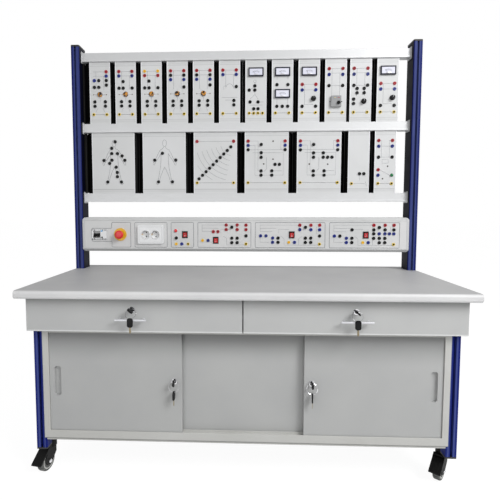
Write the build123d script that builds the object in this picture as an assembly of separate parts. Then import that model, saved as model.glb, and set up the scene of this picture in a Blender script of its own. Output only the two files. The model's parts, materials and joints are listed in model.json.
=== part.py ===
from build123d import *

import math
import os

# Electrical protection training bench, in millimetres.
# X runs to the right, Y to the back, Z up.
# The origin is on the floor below the middle of the worktop.

# Worktop
bench_width = 1600.0
bench_depth = 700.0
worktop_height = 710.0
worktop_thickness = 30.0
worktop_edge_radius = 12.0

# Slotted aluminium profile of the uprights, legs and stretchers
profile_width = 40.0
upright_depth = 80.0
upright_corner = 4.0
leg_corner = 2.0
slot_mouth = 8.0
slot_lip = 3.0
slot_core = 15.0
slot_depth = 11.0
upright_core_width = 24.0
upright_core_depth = 18.0
upright_overrun = 42.0
upright_seat_depth = 1.0
upright_seat_gap = 0.5
upright_setback = 60.0
cap_thickness = 8.0

# Legs and stretchers
leg_end_inset = 37.0
leg_side_inset = 63.0
foot_bottom = 104.0
foot_thickness = 6.0
stretcher_bottom = 130.0

# Bolts that hold the uprights to the worktop
upright_bolt_radius = 5.0
upright_bolt_clearance = 0.4
upright_bolt_reach = 40.0
upright_bolt_offset = 6.0
upright_bolt_spacing = 36.0
bolt_head_radius = 9.5
bolt_head_height = 7.0

# Drawer housing and drawers
sheet = 2.0
housing_lap = 10.0
housing_height = 123.0
housing_rear_inset = 37.0
drawer_front_inset = 35.0
drawer_front_thickness = 18.0
drawer_seat_gap = 0.5
drawer_bottom_rise = 1.0
drawer_top_gap = 4.0
drawer_half_gap = 2.0
tray_side_gap = 13.0
tray_length = 480.0
tray_rise = 13.0
tray_height = 85.0
runner_height = 14.0
runner_reach = 10.0
runner_rise = 49.0
runner_clearance = 0.3

# Drawer handle, its lock and the keys
handle_length = 110.0
handle_radius = 4.0
handle_standoff = 22.0
handle_post_radius = 3.0
handle_post_spacing = 84.0
handle_rise = 50.0
handle_offset = 3.5
drawer_lock_rise = 83.0
lock_radius = 10.5
lock_thickness = 5.0
plug_radius = 6.0
plug_clearance = 0.5
plug_depth = 2.5
key_neck_radius = 2.5
key_neck_length = 7.0
key_bow_width = 22.0
key_bow_length = 21.0
key_bow_thickness = 6.0
key_blade_width = 6.0
key_blade_length = 22.0
key_blade_thickness = 2.0
key_ring_radius = 15.0
spare_bow_length = 29.0
key_ring_wire = 1.5
key_gap = 0.4
drawer_key_turn = 40.0

# Cabinet and its sliding doors
cabinet_bottom = 142.0
frame_bottom = 150.0
stile_width = 15.0
stile_lap = 7.0
lap_thickness = 3.0
track_base = 172.0
track_lip = 8.0
track_wall = 3.0
door_thickness = 16.0
centre_panel_thickness = 12.0
door_clearance = 2.0
door_end_gap = 1.0
door_inner_edge = 220.0
centre_overlap = 22.0
door_seat_gap = 0.3
door_top_gap = 3.0
grip_width = 24.0
grip_height = 110.0
grip_depth = 10.0
grip_edge_distance = 30.0
grip_centre_height = 365.0
door_lock_edge_distance = 27.0
door_lock_height = 371.0

# Casters
caster_setback = 29.0
wheel_radius = 37.5
wheel_width = 25.0
wheel_chamfer = 3.0
wheel_sides = 24
caster_trail = 30.0
axle_radius = 4.0
running_clearance = 0.05
cheek_thickness = 3.0
cheek_clearance = 1.5
hood_clearance = 2.5
swivel_head_radius = 23.0
hood_top = 94.0
hood_front_reach = 54.0
hood_front_height = 49.0
hood_corner_reach = 45.0
hood_corner_height = 28.0
hood_low_height = 22.5
hood_rear_reach = 11.5
hood_rear_height = 56.0
swivel_gap = 0.5
plate_thickness = 4.0
plate_width = 50.0
swivel_boss_height = 6.0
swivel_boss_radius = 15.0
kingpin_radius = 6.0
kingpin_length = 7.0
axle_nut_radius = 7.0
axle_nut_height = 5.0
pedal_pivot_forward = 28.0
pedal_pivot_height = 88.0
pedal_lug_radius = 6.5
pedal_thickness = 6.0
pedal_start = 10.0
pedal_length = 70.0
pedal_ear_radius = 8.0
pedal_ear_thickness = 3.0
pedal_side_gap = 0.4
brake_gap = 0.8
pedal_pin_radius = 2.5
caster_turn = {"front_left": -12.0, "front_right": -40.0, "rear_left": 160.0, "rear_right": 200.0}

# Rails that hold the teaching modules
rail_height = 40.0
rail_depth = 40.0
rail_setback = 24.0
rail_wall = 3.0
rail_lip_height = 9.0
rail_lip_reach = 2.0
rail_count = 3
first_rail_rise = 338.0
rail_plate_thickness = 4.0
rail_plate_height = 52.0
groove_setback = 4.0
groove_width = 4.0
lower_groove_depth = 6.0
upper_groove_depth = 12.0

# Teaching modules
panel_height = 297.0
panel_thickness = 3.0
panel_play = 0.5
panel_entry = 5.5
narrow_width = 98.0
wide_width = 204.0
case_inset = 2.0
case_flare_depth = 24.0
case_depth = 60.0
case_wall = 3.0
case_end_gap = 1.0
case_side_gap = 1.0
upper_case_end_gap = 4.0
lower_case_end_gap = 9.0
last_case_flare = 3.0
upper_count = 12
upper_first_gap = 32.0
upper_last_gap = 49.0
last_pair_shift = 9.0
lower_widths = (wide_width,) * 5 + (narrow_width,) * 2
lower_gaps = (37.0, 39.0, 38.0, 36.0, 39.0, 32.0, 23.0, 52.0)

# Fittings on the modules and on the console
jack_radius = 6.5
jack_height = 3.0
jack_sides = 6
meter_width = 69.0
meter_height = 39.0
meter_depth = 8.0
meter_rim = 5.0
meter_recess = 2.0
lamp_radius = 12.0
lamp_height = 6.0
small_lamp_radius = 8.0
led_radius = 4.0
led_height = 2.0
fuse_radius = 7.5
fuse_height = 8.0
knob_radius = 12.0
knob_height = 14.0
knob_top_radius = 9.5
knob_skirt = 3.0
knob_gap = 0.3
starter_width = 45.0
starter_height = 49.0
starter_depth = 12.0
starter_knob_radius = 8.0
starter_knob_top_radius = 7.7
starter_knob_height = 9.5
turned_sides = 12

# Supply console
console_rise = 84.0
console_height = 160.0
console_proud = 8.0
console_layout_end = 748.0
console_chamfer = 12.0
console_lip = 8.0
console_wall = 3.0
console_cap_thickness = 12.0
console_cap_round = 11.0
console_plate_thickness = 3.0

# Breaker
breaker_centre = -679.0
breaker_width = 74.0
breaker_height = 48.0
breaker_proud = 3.0
breaker_depth = 58.0
lever_pocket_width = 34.0
lever_pocket_height = 34.0
lever_pocket_depth = 16.0
lever_shift = -13.0
lever_hub_radius = 5.0
lever_pin_radius = 2.0
lever_length = 15.0
lever_thickness = 4.0
lever_width = 30.0
lever_angle = 45.0
test_button_shift = 13.0
test_button_drop = 14.0
test_button_size = 6.0
test_button_proud = 2.0
test_button_length = 6.0
slide_gap = 0.3

# Emergency stop
estop_centre = -579.0
estop_disc_radius = 30.0
estop_disc_thickness = 3.0
estop_collar_radius = 15.0
estop_collar_height = 8.0
estop_stem_radius = 10.0
estop_neck_radius = 6.0
estop_neck_length = 8.0
estop_head_radius = 20.0
estop_head_height = 14.0
estop_travel = 6.0
estop_sides = 24

# Double socket outlet
outlet_centre = -434.0
outlet_width = 122.0
outlet_height = 86.0
outlet_proud = 9.0
outlet_corner = 4.0
well_radius = 19.0
well_depth = 17.0
well_spacing = 46.0
well_wall = 3.0
pin_hole_radius = 2.4
pin_hole_spacing = 19.0

# Rocker switches
rocker_frame_width = 26.0
rocker_frame_height = 32.0
rocker_frame_proud = 2.5
rocker_sleeve_inset = 2.0
rocker_sleeve_depth = 12.0
rocker_pocket_width = 18.0
rocker_pocket_height = 24.0
rocker_width = 17.4
rocker_height = 20.0
rocker_front = 8.0
rocker_back = 4.0
rocker_tilt = 8.0
rocker_places = {
    "mains": (-273.0, 0.0),
    "first": (-128.0, -26.0),
    "second": (225.0, 0.0),
    "third": (564.0, 0.0),
}

# Worked-out levels and faces
worktop_bottom = worktop_height - worktop_thickness
half_width = bench_width / 2
half_depth = bench_depth / 2
upright_inner = half_width - profile_width
upright_foot = worktop_height - upright_seat_depth
upright_rear = half_depth - upright_setback
upright_front = upright_rear - upright_depth
upright_centre_x = half_width - profile_width / 2
leg_outer = half_width - leg_end_inset
leg_inner = leg_outer - profile_width
leg_front = leg_side_inset - half_depth
leg_rear = half_depth - leg_side_inset
housing_outer = leg_outer + housing_lap
housing_bottom = worktop_bottom - housing_height
housing_rear = half_depth - housing_rear_inset
drawer_front_face = drawer_front_inset - half_depth
housing_front = drawer_front_face + drawer_front_thickness + drawer_seat_gap
drawer_front_bottom = housing_bottom + drawer_bottom_rise
drawer_front_top = worktop_bottom - drawer_top_gap
tray_bottom = housing_bottom + tray_rise
runner_bottom = housing_bottom + runner_rise
handle_height = housing_bottom + handle_rise
handle_centre = (drawer_half_gap + housing_outer) / 2 + handle_offset
drawer_lock_height = housing_bottom + drawer_lock_rise
frame_front = leg_front - lap_thickness
rail_front = upright_front + rail_setback
rail_end = upright_inner - rail_plate_thickness
rail_pitch = panel_height + rail_height - lower_groove_depth + panel_play - panel_entry
rail_centres = [worktop_height + first_rail_rise + step * rail_pitch for step in range(rail_count)]
upright_top = rail_centres[-1] + upright_overrun
panel_front = rail_front + groove_setback
console_front_face = upright_front - console_proud
console_rear = upright_rear
console_bottom = worktop_height + console_rise
console_centre = console_bottom + console_height / 2
console_end = upright_inner - console_cap_thickness
caster_x = leg_outer - profile_width / 2
caster_y = -leg_front - profile_width - caster_setback
swivel_top = stretcher_bottom - plate_thickness - swivel_boss_height - swivel_gap
groove_rear = frame_front + track_wall + door_thickness + 2 * door_clearance
track_rear = groove_rear + track_wall + centre_panel_thickness + 2 * door_clearance + track_wall
door_front = frame_front + track_wall + door_clearance
door_outer_edge = leg_inner - stile_width - door_end_gap


def block(low_x, high_x, low_y, high_y, low_z, high_z):
    """Block between six faces."""
    size = (high_x - low_x, high_y - low_y, high_z - low_z)
    corner_to_min = (Align.MIN, Align.MIN, Align.MIN)
    return Pos(low_x, low_y, low_z) * Box(*size, align=corner_to_min)


def prism_y(radius, length, sides):
    """Flat-sided turned piece along Y, from its front at Y = 0 to the back."""
    face = Rot(0, 0, 180 / sides) * RegularPolygon(radius, sides)
    return extrude(Plane.XZ * face, amount=-length)


def along_x(face, low_x, high_x):
    """Extrude a face drawn in Y and Z from one X to another."""
    return Pos(low_x, 0, 0) * extrude(Plane.YZ * face, amount=high_x - low_x, dir=(1, 0, 0))


def eased(width, height, corner):
    """Rectangle with its four corners cut off."""
    face = Rectangle(width, height)
    return chamfer(face.vertices(), corner)


def turned(radius, sides=turned_sides):
    """Section of a pin or disc, with its flats inside the radius."""
    return RegularPolygon(radius, sides)


def bored(radius, clearance, sides=turned_sides):
    """Section of a hole whose flats clear a pin of a radius."""
    return RegularPolygon(radius + clearance, sides, major_radius=False)


def write(name, *solids):
    """Write the STEP file of one sub-part."""
    flat = []
    for shape in solids:
        flat.extend(shape.solids())
    result = flat[0] if len(flat) == 1 else Compound(flat)
    export_step(result, f"parts/{name}.step")


def slot_section():
    """T-shaped groove that opens towards -Y at the origin."""
    mouth = slot_mouth / 2
    core = slot_core / 2
    outline = Polyline(
        (-mouth, 0),
        (-mouth, slot_lip),
        (-core, slot_lip),
        (-core, slot_depth),
        (core, slot_depth),
        (core, slot_lip),
        (mouth, slot_lip),
        (mouth, 0),
        close=True,
    )
    return make_face(outline)


def profile_section(depth, corner):
    """Section of a profile with one groove in its front and one in its back."""
    section = eased(profile_width, depth, corner)
    section -= Pos(0, -depth / 2) * slot_section()
    section -= Pos(0, depth / 2) * Rot(0, 0, 180) * slot_section()
    return section


def make_worktop():
    """Board with rounded front and rear edges and holes for the upright bolts."""
    board = block(-half_width, half_width, -half_depth, half_depth, worktop_bottom, worktop_height)
    long_edges = board.edges().filter_by(Axis.X)
    board = fillet(long_edges, worktop_edge_radius)
    for place in upright_bolt_places():
        board -= Pos(place.X, place.Y, worktop_bottom) * bolt_hole(worktop_thickness)
    for side in (-1, 1):
        board -= upright_seat(side)
    return board


def upright_seat(side):
    """Shallow seat in the worktop for the foot of an upright, open at the board's end."""
    ends = (side * (upright_inner - upright_seat_gap), side * (half_width + upright_seat_gap))
    front = upright_front - upright_seat_gap
    rear = upright_rear + upright_seat_gap
    return block(min(ends), max(ends), front, rear, upright_foot, worktop_height)


def upright_bolt_places():
    """Middle of each bolt that rises through the worktop into an upright."""
    middle = (upright_front + upright_rear) / 2
    places = []
    for side in (-1, 1):
        for end in (-1, 1):
            x = side * (upright_centre_x + upright_bolt_offset)
            places.append(Vector(x, middle + end * upright_bolt_spacing / 2, worktop_bottom))
    return places


def bolt_hole(depth):
    """Hole for an upright's bolt, upwards from the origin."""
    return extrude(bored(upright_bolt_radius, upright_bolt_clearance), depth)


def make_upright(side):
    """Deep profile that stands on the worktop and carries the rails."""
    section = profile_section(upright_depth, upright_corner)
    section -= Rectangle(upright_core_width, upright_core_depth)
    bar = extrude(section, upright_top - upright_foot)
    middle = (upright_front + upright_rear) / 2
    bar = Pos(side * upright_centre_x, middle, upright_foot) * bar
    for place in upright_bolt_places():
        if place.X * side > 0:
            bar -= Pos(place.X, place.Y, upright_foot) * bolt_hole(upright_bolt_reach)
    return bar


def make_upright_bolt(place):
    """Hexagon bolt with its head under the worktop."""
    head = extrude(RegularPolygon(bolt_head_radius, 6), -bolt_head_height)
    reach = upright_foot + upright_bolt_reach - worktop_bottom - upright_bolt_clearance
    shank = extrude(turned(upright_bolt_radius), reach)
    return Pos(place.X, place.Y, place.Z) * (head + shank)


def leg_centres():
    """X and Y of the four legs, front pair first."""
    half = profile_width / 2
    centres = []
    for y in (leg_front + half, leg_rear - half):
        for side in (-1, 1):
            centres.append((side * (leg_outer - half), y))
    return centres


def make_leg(x, y):
    """Leg between its foot and the drawer housing."""
    bottom = foot_bottom + foot_thickness
    section = profile_section(profile_width, leg_corner)
    return Pos(x, y, bottom) * extrude(section, housing_bottom - bottom)


def make_foot(x, y):
    """Plastic cap that closes the lower end of a leg."""
    section = eased(profile_width, profile_width, leg_corner)
    return Pos(x, y, foot_bottom) * extrude(section, foot_thickness)


def make_upright_cap(side):
    """Plastic cap on the upper end of an upright."""
    section = eased(profile_width, upright_depth, upright_corner)
    middle = (upright_front + upright_rear) / 2
    return Pos(side * upright_centre_x, middle, upright_top) * extrude(section, cap_thickness)


def make_stretcher(side):
    """Profile that ties a front leg to a rear leg and carries two casters."""
    section = profile_section(profile_width, leg_corner)
    length = leg_rear - leg_front - 2 * profile_width
    bar = extrude(Plane.XZ * section, amount=length / 2, both=True)
    middle = (leg_front + leg_rear) / 2
    return Pos(side * (leg_outer - profile_width / 2), middle, stretcher_bottom + profile_width / 2) * bar


def make_housing():
    """Folded steel box with two bays, open to the front and closed above by the worktop."""
    shell = block(-housing_outer, housing_outer, housing_front, housing_rear, housing_bottom, worktop_bottom)
    for side in (-1, 1):
        near = side * sheet / 2
        far = side * (housing_outer - sheet)
        bay = block(
            min(near, far),
            max(near, far),
            housing_front,
            housing_rear - sheet,
            housing_bottom + sheet,
            worktop_bottom,
        )
        shell -= bay
    return shell


def runner_section(reach):
    """Channel of a drawer runner, with its back on the Z axis and its mouth towards +X."""
    outer = Pos(reach / 2, runner_height / 2) * Rectangle(reach, runner_height)
    gap = Pos(sheet + reach / 2, runner_height / 2) * Rectangle(reach, runner_height - 2 * sheet)
    return outer - gap


def make_runner(wall_x, towards):
    """Fixed channel on a wall of a drawer bay, open towards the drawer."""
    section = runner_section(runner_reach)
    bar = extrude(Plane.XZ * section, amount=-tray_length)
    if towards < 0:
        bar = mirror(bar, Plane.YZ)
    return Pos(wall_x, housing_front, runner_bottom) * bar


def make_runners():
    """Four channels, one on each side of both bays."""
    runners = []
    for side in (-1, 1):
        runners.append(make_runner(side * (housing_outer - sheet), -side))
        runners.append(make_runner(side * sheet / 2, side))
    return runners


def make_drawer(side):
    """Drawer front with its open tray and the two ribs that run in the channels."""
    inner = drawer_half_gap
    front = block(
        inner,
        housing_outer,
        drawer_front_face,
        drawer_front_face + drawer_front_thickness,
        drawer_front_bottom,
        drawer_front_top,
    )
    low_x = sheet / 2 + tray_side_gap
    high_x = housing_outer - sheet - tray_side_gap
    rear = drawer_front_face + drawer_front_thickness + tray_length
    tray_start = drawer_front_face + drawer_front_thickness
    tray = block(low_x, high_x, tray_start, rear, tray_bottom, tray_bottom + tray_height)
    tray -= block(
        low_x + sheet,
        high_x - sheet,
        tray_start + sheet,
        rear - sheet,
        tray_bottom + sheet,
        tray_bottom + tray_height,
    )
    rib_reach = tray_side_gap - sheet - 2 * runner_clearance
    rib_low = runner_bottom + sheet + runner_clearance
    rib_high = runner_bottom + runner_height - sheet - runner_clearance
    rib_start = tray_start + runner_clearance
    ribs = block(low_x - rib_reach, low_x, rib_start, rear, rib_low, rib_high)
    ribs += block(high_x, high_x + rib_reach, rib_start, rear, rib_low, rib_high)
    drawer = front + tray + ribs
    if side < 0:
        drawer = mirror(drawer, Plane.YZ)
    return drawer


def make_handle(x):
    """Round bar on two posts, in front of a drawer."""
    bar_y = drawer_front_face - handle_standoff
    bar = along_x(turned(handle_radius), -handle_length / 2, handle_length / 2)
    bar = Pos(x, bar_y, handle_height) * bar
    for end in (-1, 1):
        post = prism_y(handle_post_radius, handle_standoff, turned_sides)
        bar += Pos(x + end * handle_post_spacing / 2, bar_y, handle_height) * post
    return bar


def make_lock(face_y):
    """Round lock front with a recess for its turning plug, seated on a face."""
    body = prism_y(lock_radius, lock_thickness, turned_sides)
    recess = prism_y(plug_radius + plug_clearance, plug_depth, turned_sides)
    return Pos(0, face_y - lock_thickness, 0) * (body - recess)


def make_key(face_y):
    """Plug, neck and bow of a key in its lock, along Y with its axis at X = Z = 0."""
    lock_face = face_y - lock_thickness
    plug = Pos(0, lock_face, 0) * prism_y(plug_radius, plug_depth - slide_gap, turned_sides)
    neck = Pos(0, lock_face - key_neck_length, 0) * prism_y(key_neck_radius, key_neck_length, turned_sides)
    bow_front = lock_face - key_neck_length - key_bow_length
    outline = eased(key_bow_width, key_bow_length, key_bow_width / 4)
    bow = extrude(Plane.XY * outline, amount=key_bow_thickness / 2, both=True)
    bow = Pos(0, bow_front + key_bow_length / 2, 0) * bow
    return plug + neck + bow


def make_spare_key(face_y):
    """Spare key on the ring that hangs on the neck of the key in the lock."""
    ring_y = face_y - lock_thickness - key_neck_length / 2
    ring_z = key_neck_radius + key_gap - key_ring_radius
    outer = RegularPolygon(key_ring_radius + key_ring_wire, turned_sides)
    ring = extrude(outer - RegularPolygon(key_ring_radius, turned_sides), key_ring_wire / 2, both=True)
    ring = Pos(0, ring_y, ring_z) * Rot(90, 0, 0) * ring
    bow_top = ring_z - key_ring_radius
    outline = eased(key_bow_width, spare_bow_length, key_bow_width / 4)
    bow = extrude(Plane.XZ * Pos(0, -spare_bow_length / 2) * outline, amount=key_blade_thickness, both=True)
    blade = block(
        -key_blade_width / 2,
        key_blade_width / 2,
        -key_blade_thickness / 2,
        key_blade_thickness / 2,
        -spare_bow_length - key_blade_length,
        -spare_bow_length,
    )
    return ring + Pos(0, ring_y, bow_top) * (bow + blade)


def make_drawer_fittings(side):
    """Handle, lock front and hanging spare key of one drawer."""
    lock = make_lock(drawer_front_face)
    spare = make_spare_key(drawer_front_face)
    place = Pos(side * handle_centre, 0, drawer_lock_height)
    return [make_handle(side * handle_centre), place * lock, place * spare]


def make_drawer_key(side):
    """Key that stands in the lock of one drawer, partly turned."""
    place = Pos(side * handle_centre, 0, drawer_lock_height)
    return place * Rot(0, drawer_key_turn, 0) * make_key(drawer_front_face)


def make_cabinet():
    """Folded steel cabinet between the legs, open to the front and closed above by the housing."""
    shell = block(-leg_inner, leg_inner, track_rear, leg_rear, cabinet_bottom, housing_bottom)
    shell -= block(
        -leg_inner + sheet,
        leg_inner - sheet,
        track_rear,
        leg_rear - sheet,
        cabinet_bottom + sheet,
        housing_bottom,
    )
    return shell


def track_section(base_low, base_high, lip_end):
    """Track of the doors, with a groove for the sliding doors and one for the fixed panel."""
    section = Pos((frame_front + track_rear) / 2, (base_low + base_high) / 2)
    section *= Rectangle(track_rear - frame_front, base_high - base_low)
    lip_low = min(base_high, lip_end) if lip_end > base_high else lip_end
    lip_high = lip_end if lip_end > base_high else base_low
    for wall in (frame_front, groove_rear, track_rear - track_wall):
        lip = Rectangle(track_wall, lip_high - lip_low)
        section += Pos(wall + track_wall / 2, (lip_low + lip_high) / 2) * lip
    return section


def make_door_frame():
    """Frame of the cabinet front: two stiles, the lower track and the upper track."""
    lower = track_section(frame_bottom, track_base, track_base + track_lip)
    skirt = Pos((frame_front + track_wall + track_rear) / 2, (cabinet_bottom + frame_bottom) / 2)
    skirt *= Rectangle(track_rear - frame_front - track_wall, frame_bottom - cabinet_bottom)
    top_base = housing_bottom - track_wall
    upper = track_section(top_base, housing_bottom, top_base - track_lip)
    frame = along_x(lower + skirt, -leg_inner, leg_inner)
    frame += along_x(upper, -leg_inner, leg_inner)
    for side in (-1, 1):
        stile_inner = side * (leg_inner - stile_width)
        stile_outer = side * leg_inner
        frame += block(
            min(stile_inner, stile_outer),
            max(stile_inner, stile_outer),
            frame_front,
            track_rear,
            frame_bottom,
            housing_bottom,
        )
        lap_outer = side * (leg_inner + stile_lap)
        frame += block(
            min(stile_outer, lap_outer),
            max(stile_outer, lap_outer),
            frame_front,
            frame_front + lap_thickness,
            frame_bottom,
            housing_bottom,
        )
    return frame


def make_door(side):
    """Sliding door with a sunk finger grip and its lock front."""
    low_z = track_base + door_seat_gap
    high_z = housing_bottom - track_wall - door_top_gap
    door = block(
        door_inner_edge,
        door_outer_edge,
        door_front,
        door_front + door_thickness,
        low_z,
        high_z,
    )
    outline = eased(grip_width, grip_height, grip_width / 4)
    grip = extrude(Plane.XZ * outline, amount=-grip_depth)
    door -= Pos(door_outer_edge - grip_edge_distance, door_front, grip_centre_height) * grip
    lock = make_lock(door_front - slide_gap)
    lock = Pos(door_inner_edge + door_lock_edge_distance, 0, door_lock_height) * lock
    pieces = [door, lock]
    if side < 0:
        pieces = [mirror(piece, Plane.YZ) for piece in pieces]
    return pieces


def make_door_key(side):
    """Key of one door with its spare, bow upright."""
    key = Rot(0, 90, 0) * make_key(door_front - slide_gap)
    place = Pos(side * (door_inner_edge + door_lock_edge_distance), 0, door_lock_height)
    return place * key


def make_door_spare(side):
    """Spare key that hangs on the ring of one door's key."""
    place = Pos(side * (door_inner_edge + door_lock_edge_distance), 0, door_lock_height)
    return place * make_spare_key(door_front - slide_gap)


def make_centre_panel():
    """Fixed panel behind the two doors."""
    reach = door_inner_edge + centre_overlap
    front = groove_rear + track_wall + door_clearance
    low_z = track_base
    high_z = housing_bottom - track_wall
    return block(-reach, reach, front, front + centre_panel_thickness, low_z, high_z)


def caster_place(name):
    """Where a caster stands and how far it has swivelled."""
    x = caster_x if name.endswith("right") else -caster_x
    y = caster_y if name.startswith("rear") else -caster_y
    return Pos(x, y, 0) * Rot(0, 0, caster_turn[name])


def make_caster_plate():
    """Square plate with the boss that the caster swivels in."""
    plate_bottom = stretcher_bottom - plate_thickness
    half = plate_width / 2
    plate = block(-half, half, -caster_setback, caster_setback, plate_bottom, stretcher_bottom)
    boss = extrude(turned(swivel_boss_radius), swivel_boss_height)
    bore_depth = kingpin_length - swivel_gap + running_clearance
    bore = extrude(Circle(kingpin_radius + running_clearance), bore_depth)
    boss_place = Pos(0, 0, plate_bottom - swivel_boss_height)
    return plate + boss_place * boss - boss_place * bore


def pedal_angle():
    """Slope of the brake pedal from the vertical, with its sole just off the tread."""
    forward = caster_trail - pedal_pivot_forward
    height = pedal_pivot_height - wheel_radius
    reach = math.hypot(forward, height)
    sole = math.asin((wheel_radius + brake_gap) / reach)
    return math.degrees(math.atan2(forward, height) + sole)


def pedal_local(face):
    """Place a face drawn with the pedal along -Y, pivot at the origin, at its slope."""
    return Pos(-pedal_pivot_forward, pedal_pivot_height) * Rot(0, 0, 90 - pedal_angle()) * face


def make_caster_hood():
    """Moulded hood with two cheeks, swivel head, kingpin, axle and pedal pin."""
    half = wheel_width / 2 + cheek_clearance + cheek_thickness
    outline = Polygon(
        (hood_rear_reach, hood_top),
        (hood_rear_reach, hood_rear_height),
        (-caster_trail / 2, hood_corner_height),
        (-caster_trail, hood_low_height),
        (-hood_corner_reach, hood_corner_height),
        (-hood_front_reach, hood_front_height),
        (-pedal_pivot_forward, hood_top),
        align=None,
    )
    above_sole = Pos(-pedal_length / 2, pedal_length / 2 - 2 * pedal_side_gap)
    above_sole *= Rectangle(2 * pedal_length, pedal_length)
    outline -= pedal_local(above_sole)
    lug = Pos(-pedal_pivot_forward, pedal_pivot_height) * RegularPolygon(pedal_lug_radius, turned_sides)
    neck = Polygon(
        (-pedal_pivot_forward, hood_top),
        (-pedal_pivot_forward, pedal_pivot_height - pedal_lug_radius),
        (0, pedal_pivot_height - pedal_lug_radius),
        (0, hood_top),
        align=None,
    )
    hood = along_x(outline + lug + neck, -half, half)
    wheel_space = Pos(-caster_trail, wheel_radius) * bored(wheel_radius, hood_clearance, wheel_sides)
    inner = wheel_width / 2 + cheek_clearance
    hood -= along_x(wheel_space, -inner, inner)
    head_bottom = pedal_pivot_height - pedal_lug_radius
    hood += Pos(0, 0, head_bottom) * extrude(turned(swivel_head_radius), swivel_top - head_bottom)
    hood += Pos(0, 0, swivel_top) * extrude(Circle(kingpin_radius), kingpin_length)
    axle = Pos(-caster_trail, wheel_radius) * Circle(axle_radius)
    hood += along_x(axle, -half, half)
    nut = Pos(-caster_trail, wheel_radius) * RegularPolygon(axle_nut_radius, 6)
    hood += along_x(nut, half, half + axle_nut_height)
    hood += along_x(nut, -half - axle_nut_height, -half)
    return hood


def make_pedal_pin():
    """Pin on which the brake pedal turns."""
    half = wheel_width / 2 + cheek_clearance + cheek_thickness
    reach = half + pedal_side_gap + pedal_ear_thickness
    pin = Pos(-pedal_pivot_forward, pedal_pivot_height) * Circle(pedal_pin_radius)
    return along_x(pin, -reach, reach)


def make_pedal():
    """Brake pedal: a broad sloping plate with two ears on the pin."""
    half = wheel_width / 2 + cheek_clearance + cheek_thickness + pedal_side_gap
    reach = half + pedal_ear_thickness
    plate_face = Polygon(
        (-pedal_start, 0),
        (-pedal_length, 0),
        (-pedal_length - pedal_thickness / 2, pedal_thickness / 2),
        (-pedal_length, pedal_thickness),
        (-pedal_start, pedal_thickness),
        align=None,
    )
    ear_face = RegularPolygon(pedal_ear_radius, turned_sides)
    ear_face += Polygon(
        (0, 0),
        (-pedal_start - pedal_ear_radius, 0),
        (-pedal_start - pedal_ear_radius, pedal_thickness),
        (0, pedal_ear_radius),
        align=None,
    )
    ear_face -= Circle(pedal_pin_radius + running_clearance)
    pedal = along_x(pedal_local(plate_face), -reach, reach)
    pedal += along_x(pedal_local(ear_face), half, reach)
    pedal += along_x(pedal_local(ear_face), -reach, -half)
    return pedal


def make_wheel():
    """Wheel with a bevelled tread and a bore that runs on the axle."""
    tread = RegularPolygon(wheel_radius, wheel_sides, major_radius=False)
    wheel = along_x(Rot(0, 0, 180 / wheel_sides) * tread, -wheel_width / 2, wheel_width / 2)
    rims = wheel.faces().filter_by(Axis.X).edges()
    wheel = chamfer(rims, wheel_chamfer)
    wheel -= along_x(Circle(axle_radius + running_clearance), -wheel_width / 2, wheel_width / 2)
    return Pos(0, -caster_trail, wheel_radius) * wheel


def rail_section(groove_below, groove_above):
    """Hollow rail section, drawn in Y and Z about the middle of the rail."""
    section = Rectangle(rail_depth, rail_height)
    lip = Rectangle(2 * rail_lip_reach, rail_lip_height)
    section += Pos(-rail_depth / 2, (rail_lip_height - rail_height) / 2) * lip
    core_front = -rail_depth / 2 + groove_setback + groove_width + rail_wall
    core_rear = rail_depth / 2 - rail_wall
    core = Rectangle(core_rear - core_front, rail_height - 2 * rail_wall)
    section -= Pos((core_front + core_rear) / 2, 0) * core
    groove_y = -rail_depth / 2 + groove_setback + groove_width / 2
    if groove_below:
        groove = Rectangle(groove_width, upper_groove_depth)
        section -= Pos(groove_y, (upper_groove_depth - rail_height) / 2) * groove
    if groove_above:
        groove = Rectangle(groove_width, lower_groove_depth)
        section -= Pos(groove_y, (rail_height - lower_groove_depth) / 2) * groove
    return section


def make_rails():
    """Three rails with their end plates, grooved where they hold a row of modules."""
    rails = []
    for number, centre in enumerate(rail_centres):
        section = rail_section(groove_below=number > 0, groove_above=number < len(rail_centres) - 1)
        middle = rail_front + rail_depth / 2
        rail = along_x(Pos(middle, centre) * section, -rail_end, rail_end)
        for low_x in (-upright_inner, rail_end):
            rail += make_rail_plate(low_x, centre)
        rails.append(rail)
    return rails


def make_rail_plate(low_x, centre):
    """Plate on the end of a rail, flat against an upright."""
    half = rail_plate_height / 2
    high_x = low_x + rail_plate_thickness
    low_y = rail_front - rail_wall
    high_y = rail_front + rail_depth
    return block(low_x, high_x, low_y, high_y, centre - half, centre + half)


def upper_places():
    """Middle and width of each upper module, spread over the rails."""
    first = upper_first_gap + narrow_width / 2 - rail_end
    last = rail_end - upper_last_gap - narrow_width / 2
    pitch = (last + last_pair_shift - first) / (upper_count - 1)
    places = []
    for number in range(upper_count):
        shift = last_pair_shift if number >= upper_count - 2 else 0
        places.append((first + number * pitch - shift, narrow_width))
    return places


def lower_places():
    """Middle and width of each lower module, with what the rails have to spare in the gaps."""
    spare = 2 * rail_end - sum(lower_widths) - sum(lower_gaps)
    edge = -rail_end
    places = []
    for gap, width in zip(lower_gaps, lower_widths):
        edge += gap + spare / len(lower_gaps)
        places.append((edge + width / 2, width))
        edge += width
    return places


def row_bottom(rail_number):
    """Level on which the modules above a rail rest, in the groove of that rail."""
    return rail_centres[rail_number] + rail_height / 2 - lower_groove_depth + panel_play


def make_panel(centre_x, width, bottom):
    """Front panel of one module."""
    low_y = panel_front + panel_play
    high_y = low_y + panel_thickness
    half = width / 2
    return block(centre_x - half, centre_x + half, low_y, high_y, bottom, bottom + panel_height)


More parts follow.
